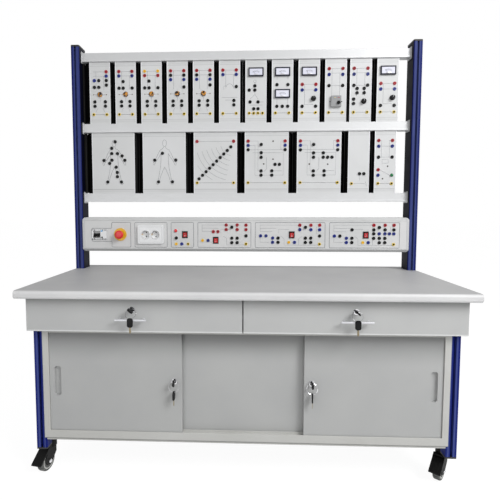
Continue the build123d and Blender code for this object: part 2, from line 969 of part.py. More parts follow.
def make_case(centre_x, width, left, right, rail_number):
    """Hollow moulded case behind a panel, flaring back to the edges of its neighbours."""
    front = panel_front + panel_play + panel_thickness
    flare = front + case_flare_depth
    rear = front + case_depth
    half = width / 2 - case_inset
    outline = Polygon(
        (centre_x - half, front),
        (left, flare),
        (left, rear),
        (right, rear),
        (right, flare),
        (centre_x + half, front),
        align=None,
    )
    low_z = rail_centres[rail_number] + rail_height / 2 + case_end_gap
    high_z = rail_centres[rail_number + 1] - rail_height / 2 - case_end_gap
    case = Pos(0, 0, low_z) * extrude(outline, high_z - low_z, dir=(0, 0, 1))
    inner = half - case_wall
    case -= block(
        centre_x - inner, centre_x + inner, front, rear - case_wall, low_z + case_wall, high_z - case_wall
    )
    return case


def make_row(places, rail_number, end_gap):
    """Cases and panels of one row of modules."""
    cases = []
    panels = []
    bottom = row_bottom(rail_number)
    for number, (centre, width) in enumerate(places):
        left = end_gap - rail_end
        right = centre + width / 2 + last_case_flare
        if number > 0:
            before, before_width = places[number - 1]
            left = (before + before_width / 2 + centre - width / 2) / 2 + case_side_gap / 2
        if number < len(places) - 1:
            after, after_width = places[number + 1]
            right = (after - after_width / 2 + centre + width / 2) / 2 - case_side_gap / 2
        cases.append(make_case(centre, width, left, right, rail_number))
        panels.append(make_panel(centre, width, bottom))
    return cases, panels


def pair(height, half=31.0):
    """Two places side by side at one height."""
    return [(-half, height), (half, height)]


def square(half, high, low):
    """Four places, two above two."""
    return pair(high, half) + pair(low, half)


def slope(start, end, count):
    """Evenly spaced places on a straight line."""
    steps = range(count)
    step_x = (end[0] - start[0]) / (count - 1)
    step_z = (end[1] - start[1]) / (count - 1)
    return [(start[0] + step_x * step, start[1] + step_z * step) for step in steps]


# Jacks of each module: colour and its places, in X and Z from the panel's middle.
wide_pair = 86.0
lamp_square = square(20.0, -40.0, -60.0)
upper_jacks = [
    {
        "red": [(31, 98)],
        "blue": [(31, 78), (-26, 58)],
        "black": [(-5, 58), (31, 58), (31, 37), (-26, 27), (-5, 27)] + square(25.0, -40.0, -60.0),
        "yellow": pair(-99),
    },
    {
        "red": pair(98),
        "blue": pair(78),
        "black": [(-11, 52), (-31, 22), (-11, 22), (31, 22)] + lamp_square,
        "yellow": pair(-99),
    },
    {
        "yellow": pair(98) + pair(-99),
        "red": pair(78),
        "black": [(-11, 53), (-31, 22), (-11, 22), (31, 22)] + lamp_square,
    },
    {"red": pair(98), "black": pair(78) + [(31, 24)] + lamp_square, "blue": pair(58), "yellow": pair(-99)},
    {"red": pair(98), "black": pair(78) + [(31, 32)] + lamp_square, "blue": pair(58), "yellow": pair(-99)},
    {"red": pair(98), "blue": pair(78), "black": [(31, 23), (20, -40), (20, -60)], "yellow": pair(-99)},
    {
        "black": [(-5, 25), (-31, 6), (-5, 6), (-27, -48), (10, -48), (-10, -79), (10, -79)],
        "yellow": pair(-99) + pair(-99, 10.0),
    },
    {"black": pair(29, 25.0) + pair(-69, 25.0) + [(0, -69)], "yellow": pair(-99)},
    {"red": pair(29), "blue": pair(4), "black": pair(-70), "yellow": pair(-99)},
    {"red": pair(98), "blue": pair(72), "black": pair(22), "yellow": pair(-99)},
    {
        "red": pair(98),
        "blue": pair(72),
        "black": pair(22) + square(16.0, 8.0, -12.0) + [(-31, -40), (-31, -60)],
        "yellow": pair(-99),
    },
    {"red": pair(29), "blue": pair(4), "black": pair(-70), "yellow": pair(-99)},
]
lower_jacks = [
    {
        "black": [(10, 100), (-7, 70), (-7, 45), (20, 45), (42, 34), (-45, 13), (-7, 14)]
        + [(-18, -1), (55, 13), (13, -19), (18, -44), (18, -64), (-29, -89), (37, -89)]
    },
    {"black": [(-8, 45), (-45, 13), (55, 13), (-28, -89), (38, -89)]},
    {"red": pair(99, wide_pair), "black": slope((73, 73), (-77, -75), 10), "yellow": pair(-94, wide_pair)},
    {
        "red": pair(99, wide_pair),
        "blue": pair(79, wide_pair),
        "black": pair(59, wide_pair)
        + [(-25, 45), (-25, 24), (40, -9), (60, -9)]
        + square(25.0, -39.0, -59.0),
        "yellow": pair(-94, wide_pair),
    },
    {
        "red": pair(98, wide_pair),
        "blue": pair(78, wide_pair),
        "black": pair(57, wide_pair)
        + [(-25, 43), (-25, 23), (20, 43), (20, 23), (40, 23), (60, 23)]
        + square(25.0, -40.0, -60.0),
        "yellow": pair(-94, wide_pair),
    },
    {"black": [(5, -54), (25, -54)], "yellow": [(-31, -99)]},
    {
        "red": pair(98) + [(-31, -36)],
        "blue": pair(72) + [(-31, -61)],
        "black": pair(22),
        "yellow": pair(-99),
    },
]

# Jacks of the console, in X from the middle of the bench and Z from the console's middle.
console_jacks = {
    "red": [(-139, 14), (-118, 14)]
    + [(x, z) for x in (-79, -28, 13) for z in (45, 24)]
    + [(262, 45), (313, 45), (353, 45), (600, 45), (651, 45), (691, 45)],
    "blue": [(-288, -44), (-164, -27), (81, -5), (106, -5), (137, -15), (137, -35), (238, -35)]
    + [(262, 24), (313, 24), (353, 24), (421, -5), (476, -15), (476, -35), (576, -35)]
    + [(625, 6), (651, 6), (671, 6), (691, 6)],
    "black": [(-53, -16), (-28, -16), (-53, -37), (-28, -37), (13, -5), (162, -15), (162, -35), (353, -5)]
    + [(x, z) for x in (288, 313) for z in (-15, -35)]
    + [(446, -5), (501, 24), (501, -15), (501, -35), (600, 24), (651, 24), (691, 24), (600, 6)]
    + [(600, -15), (626, -15), (651, -15), (626, -35), (651, -35)],
    "yellow": [(-314, -44), (-258, -44), (-190, -27), (13, -43), (212, -35), (353, -43), (551, -35), (691, -43)],
}

# Other fittings: row, module number, X and Z on that module's panel.
upper_row_number = 1
lower_row_number = 0
meters = [(6, 0, 87), (7, 0, 87), (7, 0, -12), (8, 0, 87), (11, 0, 87)]
amber_lamps = [(number, 0, -7) for number in range(5)]
module_leds = [(3, 30, 98), (3, 30, 15), (3, -13, -7), (4, -44, -8), (4, 41, -9), (6, 12, -20), (6, -10, -77)]
green_lamp = (6, 31, -61)
module_fuses = [(3, -25, 83), (4, -25, 82)]
console_fuses = [(-314, -16), (-53, 35), (288, 35), (625, 35)]
console_lamp = (-316, 18)
knob_places = {"left": (8, 21, -35), "middle": (10, 15, -50), "right": (11, 22, -35)}
starter_place = (9, 1, -50)
starter_knob_place = (9, 12, -57)


def on_module(row, place):
    """Point on the face of a module's panel."""
    number, x, z = place
    places = upper_places() if row == upper_row_number else lower_places()
    centre = places[number][0]
    middle = row_bottom(row) + panel_height / 2
    return Pos(centre + x, panel_front + panel_play, middle + z)


def on_console(place):
    """Point on the face of the console's front plate, spread with the console's length."""
    x, z = place
    return Pos(x * console_end / console_layout_end, console_front_face, console_centre + z)


def standing(radius, height, sides):
    """Flat-sided round piece that stands out to the front of a face at the origin."""
    return Pos(0, -height, 0) * prism_y(radius, height, sides)


def make_jacks(colour):
    """All safety jacks of one colour."""
    jack = standing(jack_radius, jack_height, jack_sides)
    jacks = []
    for row, layouts in ((upper_row_number, upper_jacks), (lower_row_number, lower_jacks)):
        for number, layout in enumerate(layouts):
            for x, z in layout.get(colour, []):
                jacks.append(on_module(row, (number, x, z)) * jack)
    for place in console_jacks[colour]:
        jacks.append(on_console(place) * jack)
    return jacks


def make_meters():
    """Panel meters with a sunk dial."""
    case = centred_block(meter_width, meter_height, -meter_depth, 0)
    dial_width = meter_width - 2 * meter_rim
    dial_height = meter_height - 2 * meter_rim
    case -= centred_block(dial_width, dial_height, -meter_depth, meter_recess - meter_depth)
    return [on_module(upper_row_number, place) * case for place in meters]


def make_lamps():
    """Amber, green and red lamps and the small light-emitting diodes."""
    lamps = []
    for place in amber_lamps:
        lamps.append(on_module(upper_row_number, place) * standing(lamp_radius, lamp_height, turned_sides))
    for place in module_leds:
        lamps.append(on_module(lower_row_number, place) * standing(led_radius, led_height, jack_sides))
    small_lamp = standing(small_lamp_radius, lamp_height, turned_sides)
    lamps.append(on_module(lower_row_number, green_lamp) * small_lamp)
    lamps.append(on_console(console_lamp) * small_lamp)
    return lamps


def make_panel_fittings():
    """Fuse holders and the frames of the rocker switches."""
    holder = standing(fuse_radius, fuse_height, turned_sides)
    pieces = [on_module(lower_row_number, place) * holder for place in module_fuses]
    pieces += [on_console(place) * holder for place in console_fuses]
    pieces += [on_console(place) * make_rocker_frame() for place in rocker_places.values()]
    return pieces


def centred_block(width, height, low_y, high_y):
    """Block centred on X and Z between two depths."""
    return block(-width / 2, width / 2, low_y, high_y, -height / 2, height / 2)


def make_rocker_frame():
    """Flange and sleeve of a rocker switch."""
    sleeve_width = rocker_frame_width - 2 * rocker_sleeve_inset
    sleeve_height = rocker_frame_height - 2 * rocker_sleeve_inset
    frame = centred_block(rocker_frame_width, rocker_frame_height, -rocker_frame_proud, 0)
    frame += centred_block(sleeve_width, sleeve_height, 0, rocker_sleeve_depth)
    floor = rocker_sleeve_depth - rocker_sleeve_inset
    return frame - centred_block(rocker_pocket_width, rocker_pocket_height, -rocker_frame_proud, floor)


def make_rocker(place):
    """Rocker that tips on its middle, resting with one end in."""
    face = Polygon(
        (-rocker_front, -rocker_height / 2),
        (-rocker_front + rocker_frame_proud / 2, 0),
        (-rocker_front, rocker_height / 2),
        (0, rocker_height / 2),
        (rocker_back, 0),
        (0, -rocker_height / 2),
        align=None,
    )
    rocker = along_x(face, -rocker_width / 2, rocker_width / 2)
    pivot = Pos(0, rocker_sleeve_inset * 2, 0)
    return on_console(place) * pivot * Rot(rocker_tilt, 0, 0) * rocker


def make_knob(radius, top_radius, height):
    """Skirted knob with a raised grip bar, standing on a face at the origin."""
    knob = standing(radius, knob_skirt, turned_sides)
    knob += Pos(0, -knob_skirt, 0) * standing(top_radius, height - knob_skirt, turned_sides)
    knob = Pos(0, -knob_gap, 0) * knob
    pointer = block(-knob_gap, knob_gap, -height - 2 * knob_gap, -height, 0, top_radius - knob_skirt / 2)
    return knob + Pos(0, -knob_gap / 2, 0) * pointer


def make_starter():
    """Front of the motor starter on its module."""
    return centred_block(starter_width, starter_height, -starter_depth, 0)


def console_section(low_z, high_z):
    """Outer outline of the console in Y and Z."""
    return Polygon(
        (console_front_face, low_z + console_chamfer),
        (console_front_face + console_chamfer, low_z),
        (console_rear, low_z),
        (console_rear, high_z),
        (console_front_face + console_chamfer, high_z),
        (console_front_face, high_z - console_chamfer),
        align=None,
    )


def make_console_body():
    """Hollow console body with a seat for the front plate."""
    low = console_bottom
    high = console_bottom + console_height
    inner_low = low + console_wall
    inner_high = high - console_wall
    section = console_section(low, high)
    hollow_front = console_front_face + console_chamfer
    hollow = Rectangle(console_rear - console_wall - hollow_front, inner_high - inner_low)
    section -= Pos((hollow_front + console_rear - console_wall) / 2, console_centre) * hollow
    seat_low = low + console_chamfer + console_lip
    seat_high = high - console_chamfer - console_lip
    mouth = Rectangle(console_chamfer, seat_high - seat_low)
    section -= Pos(console_front_face + console_chamfer / 2, console_centre) * mouth
    plate_low, plate_high = console_plate_levels()
    rebate = Rectangle(console_plate_thickness, plate_high - plate_low)
    section -= Pos(console_front_face + console_plate_thickness / 2, console_centre) * rebate
    return along_x(section, -console_end, console_end)


def console_plate_levels():
    """Lower and upper edge of the console's front plate."""
    margin = console_chamfer + console_lip / 2
    return console_bottom + margin, console_bottom + console_height - margin


def make_console_caps():
    """Moulded end caps with rounded corners."""
    section = console_section(console_bottom, console_bottom + console_height)
    cap = along_x(section, console_end, upright_inner)
    corners = cap.edges().filter_by(Axis.Y).group_by(Axis.X)[-1]
    cap = fillet(corners, console_cap_round)
    return [cap, mirror(cap, Plane.YZ)]


def breaker_middle():
    """Middle of the breaker on the console's face."""
    return on_console((breaker_centre, 0))


def make_console_plate():
    """Front plate with cut-outs for the breaker, the outlet and the rocker switches."""
    low, high = console_plate_levels()
    rear = console_front_face + console_plate_thickness
    plate = block(-console_end, console_end, console_front_face, rear, low, high)
    cut_depth = 2 * console_plate_thickness
    plate -= breaker_middle() * centred_block(breaker_width, breaker_height, -cut_depth, cut_depth)
    sleeve_width = rocker_frame_width - 2 * rocker_sleeve_inset
    sleeve_height = rocker_frame_height - 2 * rocker_sleeve_inset
    for place in rocker_places.values():
        plate -= on_console(place) * centred_block(sleeve_width, sleeve_height, -cut_depth, cut_depth)
    for side in (-1, 1):
        cup = extrude(Plane.XZ * cup_outline(), amount=cut_depth, both=True)
        plate -= on_console((outlet_centre, 0)) * Pos(side * well_spacing / 2, 0, 0) * cup
    return plate


def cup_outline():
    """Outer outline of a well of the outlet."""
    return RegularPolygon(well_radius + well_wall, turned_sides)


def make_outlet():
    """Double socket outlet with two round wells."""
    outline = eased(outlet_width, outlet_height, outlet_corner)
    body = extrude(Plane.XZ * outline, amount=outlet_proud)
    floor = well_depth - outlet_proud + well_wall
    for side in (-1, 1):
        shift = Pos(side * well_spacing / 2, 0, 0)
        body += shift * extrude(Plane.XZ * cup_outline(), amount=-floor)
    for side in (-1, 1):
        shift = Pos(side * well_spacing / 2, -outlet_proud, 0)
        body -= shift * prism_y(well_radius, well_depth, 2 * turned_sides)
        hole = prism_y(pin_hole_radius, well_depth + well_wall, jack_sides)
        for end in (-1, 1):
            body -= shift * Pos(0, 0, end * pin_hole_spacing / 2) * hole
    return on_console((outlet_centre, 0)) * body


def lever_axis():
    """Axis of the breaker's lever, relative to the face of the console."""
    return Pos(0, lever_hub_radius + breaker_proud / 2, 0)


def make_breaker():
    """Breaker body with a pocket for its lever and one for its test button."""
    body = centred_block(breaker_width, breaker_height, -breaker_proud, breaker_depth)
    pocket = centred_block(
        lever_pocket_width, lever_pocket_height, -breaker_proud, lever_pocket_depth - breaker_proud
    )
    body -= Pos(lever_shift, 0, 0) * pocket
    pin = along_x(Circle(lever_pin_radius), -lever_pocket_width / 2, lever_pocket_width / 2)
    body += Pos(lever_shift, 0, 0) * lever_axis() * pin
    hole_size = test_button_size + 2 * slide_gap
    hole = centred_block(hole_size, hole_size, -breaker_proud, test_button_length)
    body -= Pos(test_button_shift, 0, -test_button_drop) * hole
    return breaker_middle() * body


def make_breaker_lever():
    """Joined levers of the breaker, resting downwards."""
    face = RegularPolygon(lever_hub_radius, turned_sides)
    arm = Pos(-lever_length / 2, 0) * Rectangle(lever_length, lever_thickness)
    face += Rot(0, 0, lever_angle) * arm
    face -= Circle(lever_pin_radius + running_clearance)
    lever = along_x(face, -lever_width / 2, lever_width / 2)
    return breaker_middle() * Pos(lever_shift, 0, 0) * lever_axis() * lever


def make_test_button():
    """Small push button of the breaker."""
    front = -breaker_proud - test_button_proud
    button = centred_block(test_button_size, test_button_size, front, front + test_button_length)
    return breaker_middle() * Pos(test_button_shift, 0, -test_button_drop) * button


def disc_standing(face, back, front):
    """Disc or pin along Y, between two distances in front of a face at the origin."""
    return Pos(0, -back, 0) * extrude(Plane.XZ * face, amount=front - back)


def make_estop_base():
    """Round plate and collar under the emergency stop."""
    collar_face = estop_disc_thickness + estop_collar_height
    base = disc_standing(turned(estop_disc_radius, estop_sides), 0, estop_disc_thickness)
    base += disc_standing(turned(estop_collar_radius), 0, collar_face)
    base -= disc_standing(bored(estop_stem_radius, slide_gap), 0, collar_face)
    return on_console((estop_centre, 0)) * base


def estop_head_back():
    """Distance from the console's face to the back of the released head."""
    return estop_disc_thickness + estop_collar_height + estop_travel + slide_gap


def make_estop_stem():
    """Stem that slides in the collar, with a neck for the head to twist on."""
    shoulder = estop_head_back() - slide_gap
    stem = disc_standing(turned(estop_stem_radius), estop_travel + slide_gap, shoulder)
    stem += disc_standing(Circle(estop_neck_radius), shoulder, shoulder + estop_neck_length)
    return on_console((estop_centre, 0)) * stem


def make_estop_head():
    """Mushroom head that twists on the stem to let it spring out."""
    back = estop_head_back()
    head = disc_standing(turned(estop_head_radius, estop_sides), back, back + estop_head_height)
    front_edge = head.faces().sort_by(Axis.Y)[0].edges()
    head = chamfer(front_edge, estop_head_height / 3)
    head -= disc_standing(Circle(estop_neck_radius + running_clearance), back, back + estop_neck_length)
    return on_console((estop_centre, 0)) * head


def bolt_group():
    """Bolts of the uprights and of the caster plates."""
    bolts = [make_upright_bolt(place) for place in upright_bolt_places()]
    head = extrude(RegularPolygon(bolt_head_radius / 2, 6), -bolt_head_height / 2)
    for name in caster_turn:
        x = caster_x if name.endswith("right") else -caster_x
        y = caster_y if name.startswith("rear") else -caster_y
        for across in (-1, 1):
            for along in (-1, 1):
                shift_x = across * (plate_width / 2 - bolt_head_radius / 2)
                shift_y = along * (caster_setback - bolt_head_radius / 2)
                bolts.append(Pos(x + shift_x, y + shift_y, stretcher_bottom - plate_thickness) * head)
    return bolts


def write_structure():
    """Frame, rails and worktop."""
    write("worktop", make_worktop())
    write("uprights", make_upright(-1), make_upright(1))
    write("legs", *[make_leg(x, y) for x, y in leg_centres()])
    feet = [make_foot(x, y) for x, y in leg_centres()]
    write("profile_end_caps", *feet, make_upright_cap(-1), make_upright_cap(1))
    write("side_stretchers", make_stretcher(-1), make_stretcher(1))
    write("module_rails", *make_rails())
    write("frame_bolts", *bolt_group())


def write_storage():
    """Drawers, cabinet and doors."""
    write("drawer_housing", make_housing())
    write("drawer_runners", *make_runners())
    write("cabinet_shell", make_cabinet())
    write("door_frame", make_door_frame())
    write("centre_panel", make_centre_panel())
    for side, word in ((-1, "left"), (1, "right")):
        write(f"drawer_{word}", make_drawer(side))
        write(f"drawer_{word}_fittings", *make_drawer_fittings(side))
        write(f"drawer_{word}_key", make_drawer_key(side))
        write(f"door_{word}", *make_door(side), make_door_spare(side))
        write(f"door_{word}_key", make_door_key(side))


def write_casters():
    """Four casters, the front ones with a brake."""
    plates = []
    for name in caster_turn:
        place = caster_place(name)
        plates.append(Pos(place.position) * make_caster_plate())
        hood = make_caster_hood()
        if name.startswith("front"):
            hood += make_pedal_pin()
            write(f"brake_pedal_{name}", place * make_pedal())
        write(f"caster_hood_{name}", place * hood)
        write(f"caster_wheel_{name}", place * make_wheel())
    write("caster_plates", *plates)


def write_modules():
    """Teaching modules with everything on their fronts."""
    lower_cases, lower_panels = make_row(lower_places(), lower_row_number, lower_case_end_gap)
    upper_cases, upper_panels = make_row(upper_places(), upper_row_number, upper_case_end_gap)
    write("module_cases", *lower_cases, *upper_cases)
    write("module_panels", *lower_panels, *upper_panels)
    for colour in console_jacks:
        write(f"jacks_{colour}", *make_jacks(colour))
    write("panel_meters", *make_meters())
    write("indicator_lamps", *make_lamps())
    write("panel_fittings", *make_panel_fittings())
    for word, place in knob_places.items():
        knob = make_knob(knob_radius, knob_top_radius, knob_height)
        write(f"module_knob_{word}", on_module(upper_row_number, place) * knob)
    knob = make_knob(starter_knob_radius, starter_knob_top_radius, starter_knob_height)
    starter_face = Pos(0, -starter_depth, 0)
    write("starter_knob", on_module(upper_row_number, starter_knob_place) * starter_face * knob)


def write_console():
    """Supply console with its switches and outlet."""
    write("console_body", make_console_body())
    write("console_end_caps", *make_console_caps())
    write("console_front", make_console_plate())
    write("outlet", make_outlet())
    write("switchgear_bodies", make_breaker(), on_module(upper_row_number, starter_place) * make_starter())
    write("breaker_lever", make_breaker_lever())
    write("breaker_test_button", make_test_button())
    write("estop_base", make_estop_base())
    write("estop_stem", make_estop_stem())
    write("estop_head", make_estop_head())
    for word, place in rocker_places.items():
        write(f"rocker_{word}", make_rocker(place))


os.makedirs("parts", exist_ok=True)
write_structure()
write_storage()
write_casters()
write_modules()
write_console()
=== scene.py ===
import json
import logging
import math
from collections.abc import Callable, Iterator, Sequence
from contextlib import contextmanager
from dataclasses import dataclass
from enum import Enum

import bmesh
import bpy
from mathutils import Matrix, Vector


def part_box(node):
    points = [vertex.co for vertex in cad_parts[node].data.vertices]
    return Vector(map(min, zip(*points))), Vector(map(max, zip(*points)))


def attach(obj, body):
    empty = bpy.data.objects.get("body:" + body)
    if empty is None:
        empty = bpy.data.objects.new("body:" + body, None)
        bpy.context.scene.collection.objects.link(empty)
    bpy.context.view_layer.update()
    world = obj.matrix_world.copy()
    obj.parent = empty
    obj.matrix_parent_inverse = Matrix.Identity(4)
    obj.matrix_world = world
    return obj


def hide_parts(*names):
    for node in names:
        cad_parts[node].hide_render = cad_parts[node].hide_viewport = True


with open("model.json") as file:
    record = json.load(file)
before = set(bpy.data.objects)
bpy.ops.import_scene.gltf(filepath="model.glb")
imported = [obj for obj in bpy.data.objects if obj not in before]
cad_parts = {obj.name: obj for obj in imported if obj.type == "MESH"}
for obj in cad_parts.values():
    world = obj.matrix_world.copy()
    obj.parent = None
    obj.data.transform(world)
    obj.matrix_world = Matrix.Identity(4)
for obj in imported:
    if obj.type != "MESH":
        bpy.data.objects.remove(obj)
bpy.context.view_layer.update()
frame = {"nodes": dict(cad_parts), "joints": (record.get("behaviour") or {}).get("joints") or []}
log = logging.getLogger("bench")

MM = 0.001
ROUNDING = 2  # faces that go round an eased edge
WELD = 0.00001  # corners of a solid nearer than this, in metres, become one
SEAM = 0.000001  # the same for a turned piece, which has finer steps
FLAT = 0.5  # faces that meet at less than this, in degrees, become one
SHARP = 40.0  # edges sharper than this, in degrees, are eased
SMOOTH = 38.0  # edges sharper than this, in degrees, stay sharp in the shading
CONSOLE_TOP = 1.0  # what stands lower than this, in metres, is on the console
BENCH = "bench"

Piece = bpy.types.Object
Point = tuple[float, float]
Place = tuple[float, float, float]
Colour = tuple[int, int, int]
Line = list[Point]


def linear(colour: Colour) -> tuple[float, float, float, float]:
    """Turn a colour of 0 to 255 into the linear values that a shader takes.

    Args:
        colour: red, green and blue as they look on a screen.

    Returns:
        The linear red, green, blue and an alpha of one.
    """
    values = []
    for part in colour:
        share = part / 255
        values.append(share / 12.92 if share <= 0.04045 else ((share + 0.055) / 1.055) ** 2.4)
    return (values[0], values[1], values[2], 1.0)


class Shader:
    """The node tree of one material, with its shader."""

    def __init__(self, name: str) -> None:
        """Start a material with one plain shader.

        Args:
            name: name of the material.
        """
        self.material = bpy.data.materials.new(name)
        self.material.use_nodes = True
        self.tree = self.material.node_tree
        self.surface = self.tree.nodes["Principled BSDF"]

    def node(self, kind: str, settings: dict, sockets: dict) -> bpy.types.Node:
        """Add one node.

        Args:
            kind: the node's type.
            settings: what is set on the node itself, before its sockets.
            sockets: a value or a term for each input, by name or number.

        Returns:
            The new node.
        """
        made = self.tree.nodes.new(kind)
        for name, value in settings.items():
            setattr(made, name, value)
        for key, value in sockets.items():
            if isinstance(value, Term):
                self.tree.links.new(value.socket, made.inputs[key])
            else:
                made.inputs[key].default_value = value
        return made

    def term(self, kind: str, settings: dict, sockets: dict, output: int | str = 0) -> "Term":
        """Add one node and take one of its outputs.

        Args:
            kind: the node's type.
            settings: what is set on the node itself.
            sockets: a value or a term for each input.
            output: name or number of the output.

        Returns:
            The output as a term.
        """
        return Term(self, self.node(kind, settings, sockets).outputs[output])

    def point(self) -> "Term":
        """Give the point on the object, in metres."""
        return self.term("ShaderNodeTexCoord", {}, {}, "Object")

    def axis(self, letter: str) -> "Term":
        """Give one coordinate of the point on the object, in metres."""
        return self.term("ShaderNodeSeparateXYZ", {}, {"Vector": self.point()}, letter)

    def noise(self, scale: float, detail: float = 2.0, stretch: Place = (1.0, 1.0, 1.0)) -> "Term":
        """Give a cloudy pattern from -1 to 1.

        Args:
            scale: how many clouds there are in a metre.
            detail: how many finer layers it has.
            stretch: factors on the three axes.

        Returns:
            The pattern.
        """
        vector = self.term("ShaderNodeMapping", {}, {"Vector": self.point(), "Scale": stretch})
        sockets = {"Vector": vector, "Scale": scale, "Detail": detail}
        return self.term("ShaderNodeTexNoise", {}, sockets, "Fac") * 2 - 1

    def feed(self, socket: str, value: "Term") -> None:
        """Link a term to an input of the shader."""
        self.tree.links.new(value.socket, self.surface.inputs[socket])

    def bump(self, height: "Term", distance: float) -> None:
        """Raise the surface by a term.

        Args:
            height: the pattern.
            distance: how far one unit of it stands up, in metres.
        """
        bumped = self.term("ShaderNodeBump", {}, {"Height": height, "Distance": distance, "Strength": 1.0})
        self.feed("Normal", bumped)


@dataclass(frozen=True)
class Term:
    """A number that varies over a surface, held by a node's output."""

    shader: Shader
    socket: bpy.types.NodeSocket

    def joined(self, operation: str, first: "Term | float", second: "Term | float" = 0.0) -> "Term":
        """Join two values by one operation.

        Args:
            operation: the Math node's operation.
            first: the first value.
            second: the second value.

        Returns:
            The result.
        """
        return self.shader.term("ShaderNodeMath", {"operation": operation}, {0: first, 1: second})

    def __add__(self, other: "Term | float") -> "Term":
        """Add."""
        return self.joined("ADD", self, other)

    def __radd__(self, other: float) -> "Term":
        """Add to a number."""
        return self.joined("ADD", other, self)

    def __sub__(self, other: "Term | float") -> "Term":
        """Subtract."""
        return self.joined("SUBTRACT", self, other)

    def __rsub__(self, other: float) -> "Term":
        """Subtract from a number."""
        return self.joined("SUBTRACT", other, self)

    def __mul__(self, other: "Term | float") -> "Term":
        """Multiply."""
        return self.joined("MULTIPLY", self, other)

    def __abs__(self) -> "Term":
        """Drop the sign."""
        return self.joined("ABSOLUTE", self)

    def rise(self, low: float, high: float) -> "Term":
        """Give 0 below one value, 1 above another, and a smooth rise between.

        Args:
            low: where it starts.
            high: where it ends.

        Returns:
            A mask from 0 to 1.
        """
        sockets = {"Value": self, "From Min": low, "From Max": high}
        return self.shader.term("ShaderNodeMapRange", {"interpolation_type": "SMOOTHSTEP"}, sockets)

    def near(self, middle: float, half: float) -> "Term":
        """Give 1 within a band round a value, and 0 outside it."""
        return 1 - abs(self - middle).rise(half * 0.6, half)

    def mix(self, first: Colour, second: Colour) -> "Term":
        """Blend two colours, with the first where the term is 0.

        Args:
            first: colour at 0.
            second: colour at 1.

        Returns:
            The colour.
        """
        sockets = {0: self, 6: linear(first), 7: linear(second)}
        return self.shader.term("ShaderNodeMix", {"data_type": "RGBA"}, sockets, 2)

    def shaded(self, shade: "Term") -> "Term":
        """Make a colour lighter or darker by a factor."""
        sockets = {"Vector": self, "Scale": shade}
        return self.shader.term("ShaderNodeVectorMath", {"operation": "SCALE"}, sockets)


@dataclass(frozen=True)
class Finish:
    """A finish of one part of the bench."""

    name: str
    colour: Colour
    second: Colour
    roughness: float = 0.5
    metallic: float = 0.0
    coat: float = 0.0
    specular: float = 0.5
    cloud: float = 0.03
    cloud_scale: float = 5.0
    grain: float = 0.02
    grain_scale: float = 700.0
    grain_detail: float = 2.0
    smudge: float = 0.18
    bump: float = 0.00003
    stretch: Place = (1.0, 1.0, 1.0)

    def pattern(self, shader: Shader) -> Term:
        """Give how strongly the second colour shows, from 0 to 1."""
        return shader.noise(self.cloud_scale, 3.0, self.stretch).rise(-0.6, 0.6)

    def shade(self, shader: Shader) -> Term:
        """Give the factor that makes the colour lighter or darker."""
        fine = shader.noise(self.grain_scale, self.grain_detail, self.stretch) * self.grain
        return 1 + shader.noise(self.cloud_scale, 3.0) * self.cloud + fine

    def height(self, shader: Shader) -> Term:
        """Give the relief of the surface, from -1 to 1."""
        return shader.noise(self.grain_scale, 2.0, self.stretch)

    def material(self) -> bpy.types.Material:
        """Make the material, or give the one made before.

        Returns:
            The material.
        """
        made = bpy.data.materials.get(self.name)
        if made:
            return made
        shader = Shader(self.name)
        colour = self.pattern(shader).mix(self.colour, self.second)
        shader.feed("Base Color", colour.shaded(self.shade(shader)))
        smudges = shader.noise(self.cloud_scale * 4, 4.0)
        shader.feed("Roughness", self.roughness + smudges * self.roughness * self.smudge)
        shader.surface.inputs["Metallic"].default_value = self.metallic
        shader.surface.inputs["Coat Weight"].default_value = self.coat
        shader.surface.inputs["Specular IOR Level"].default_value = self.specular
        shader.bump(self.height(shader), self.bump)
        return shader.material


@dataclass(frozen=True)
class PowderCoat(Finish):
    """Sprayed and baked paint with a fine orange peel, painted shade below an overhang and painted light
    along a lower lip.
    """

    grain_scale: float = 450.0
    bump: float = 0.00006
    painted_shade_low: float = 0.0
    painted_shade_high: float = 0.0
    painted_shade_loss: float = 0.0
    lip: float = 0.0
    lip_half: float = 0.0035
    painted_lip_gain: float = 0.0

    def shade(self, shader: Shader) -> Term:
        """Give broad clouds, a few faint specks, the painted shade below the overhang and the painted light
        along the lower lip.

        Args:
            shader: the material's node tree.

        Returns:
            The factor on the colour.
        """
        specks = shader.noise(1400.0, 1.0).rise(0.35, 0.6) * 0.05
        shade = super().shade(shader) - specks
        # Painted shade below the overhang, growing darker upwards.
        if self.painted_shade_loss:
            painted_shade_mask = shader.axis("Z").rise(self.painted_shade_low, self.painted_shade_high)
            shade = shade - painted_shade_mask * self.painted_shade_loss
        # Painted light along the lower lip: a highlight where the gain is above 0, a line of shade where it
        # is below 0.
        if self.lip:
            shade = shade + shader.axis("Z").near(self.lip, self.lip_half) * self.painted_lip_gain
        return shade


@dataclass(frozen=True)
class Laminate(Finish):
    """Laminate of the worktop with a fine speckle, worn patches and a painted highlight on the front edge."""

    nose_front: float = -0.348
    nose_rear: float = -0.338
    nose_highlight: float = 0.46
    under_low: float = 0.681
    under_high: float = 0.694
    underside_highlight: float = 0.5

    def shade(self, shader: Shader) -> Term:
        """Give the speckle, worn patches, long faint scratches and the painted highlight on the front edge.

        Args:
            shader: the material's node tree.

        Returns:
            The factor on the colour.
        """
        speckle = shader.noise(1100.0, 1.0).rise(0.1, 0.5) * 0.06
        worn = shader.noise(7.0, 5.0, (1.0, 2.0, 1.0)).rise(0.1, 0.7) * 0.05
        scratches = shader.noise(60.0, 2.0, (0.3, 9.0, 1.0)).rise(0.45, 0.6) * 0.03
        # Painted highlight on the rounded front edge, stronger on its lower half, which faces down.
        nose = 1 - shader.axis("Y").rise(self.nose_front, self.nose_rear)
        under = 1 - shader.axis("Z").rise(self.under_low, self.under_high)
        return 1 - speckle + worn + scratches + nose * (under * self.underside_highlight + self.nose_highlight)


@dataclass(frozen=True)
class Brushed(Finish):
    """Metal brushed along its length."""

    metallic: float = 1.0
    grain_detail: float = 3.0
    stretch: Place = (0.02, 1.0, 1.0)


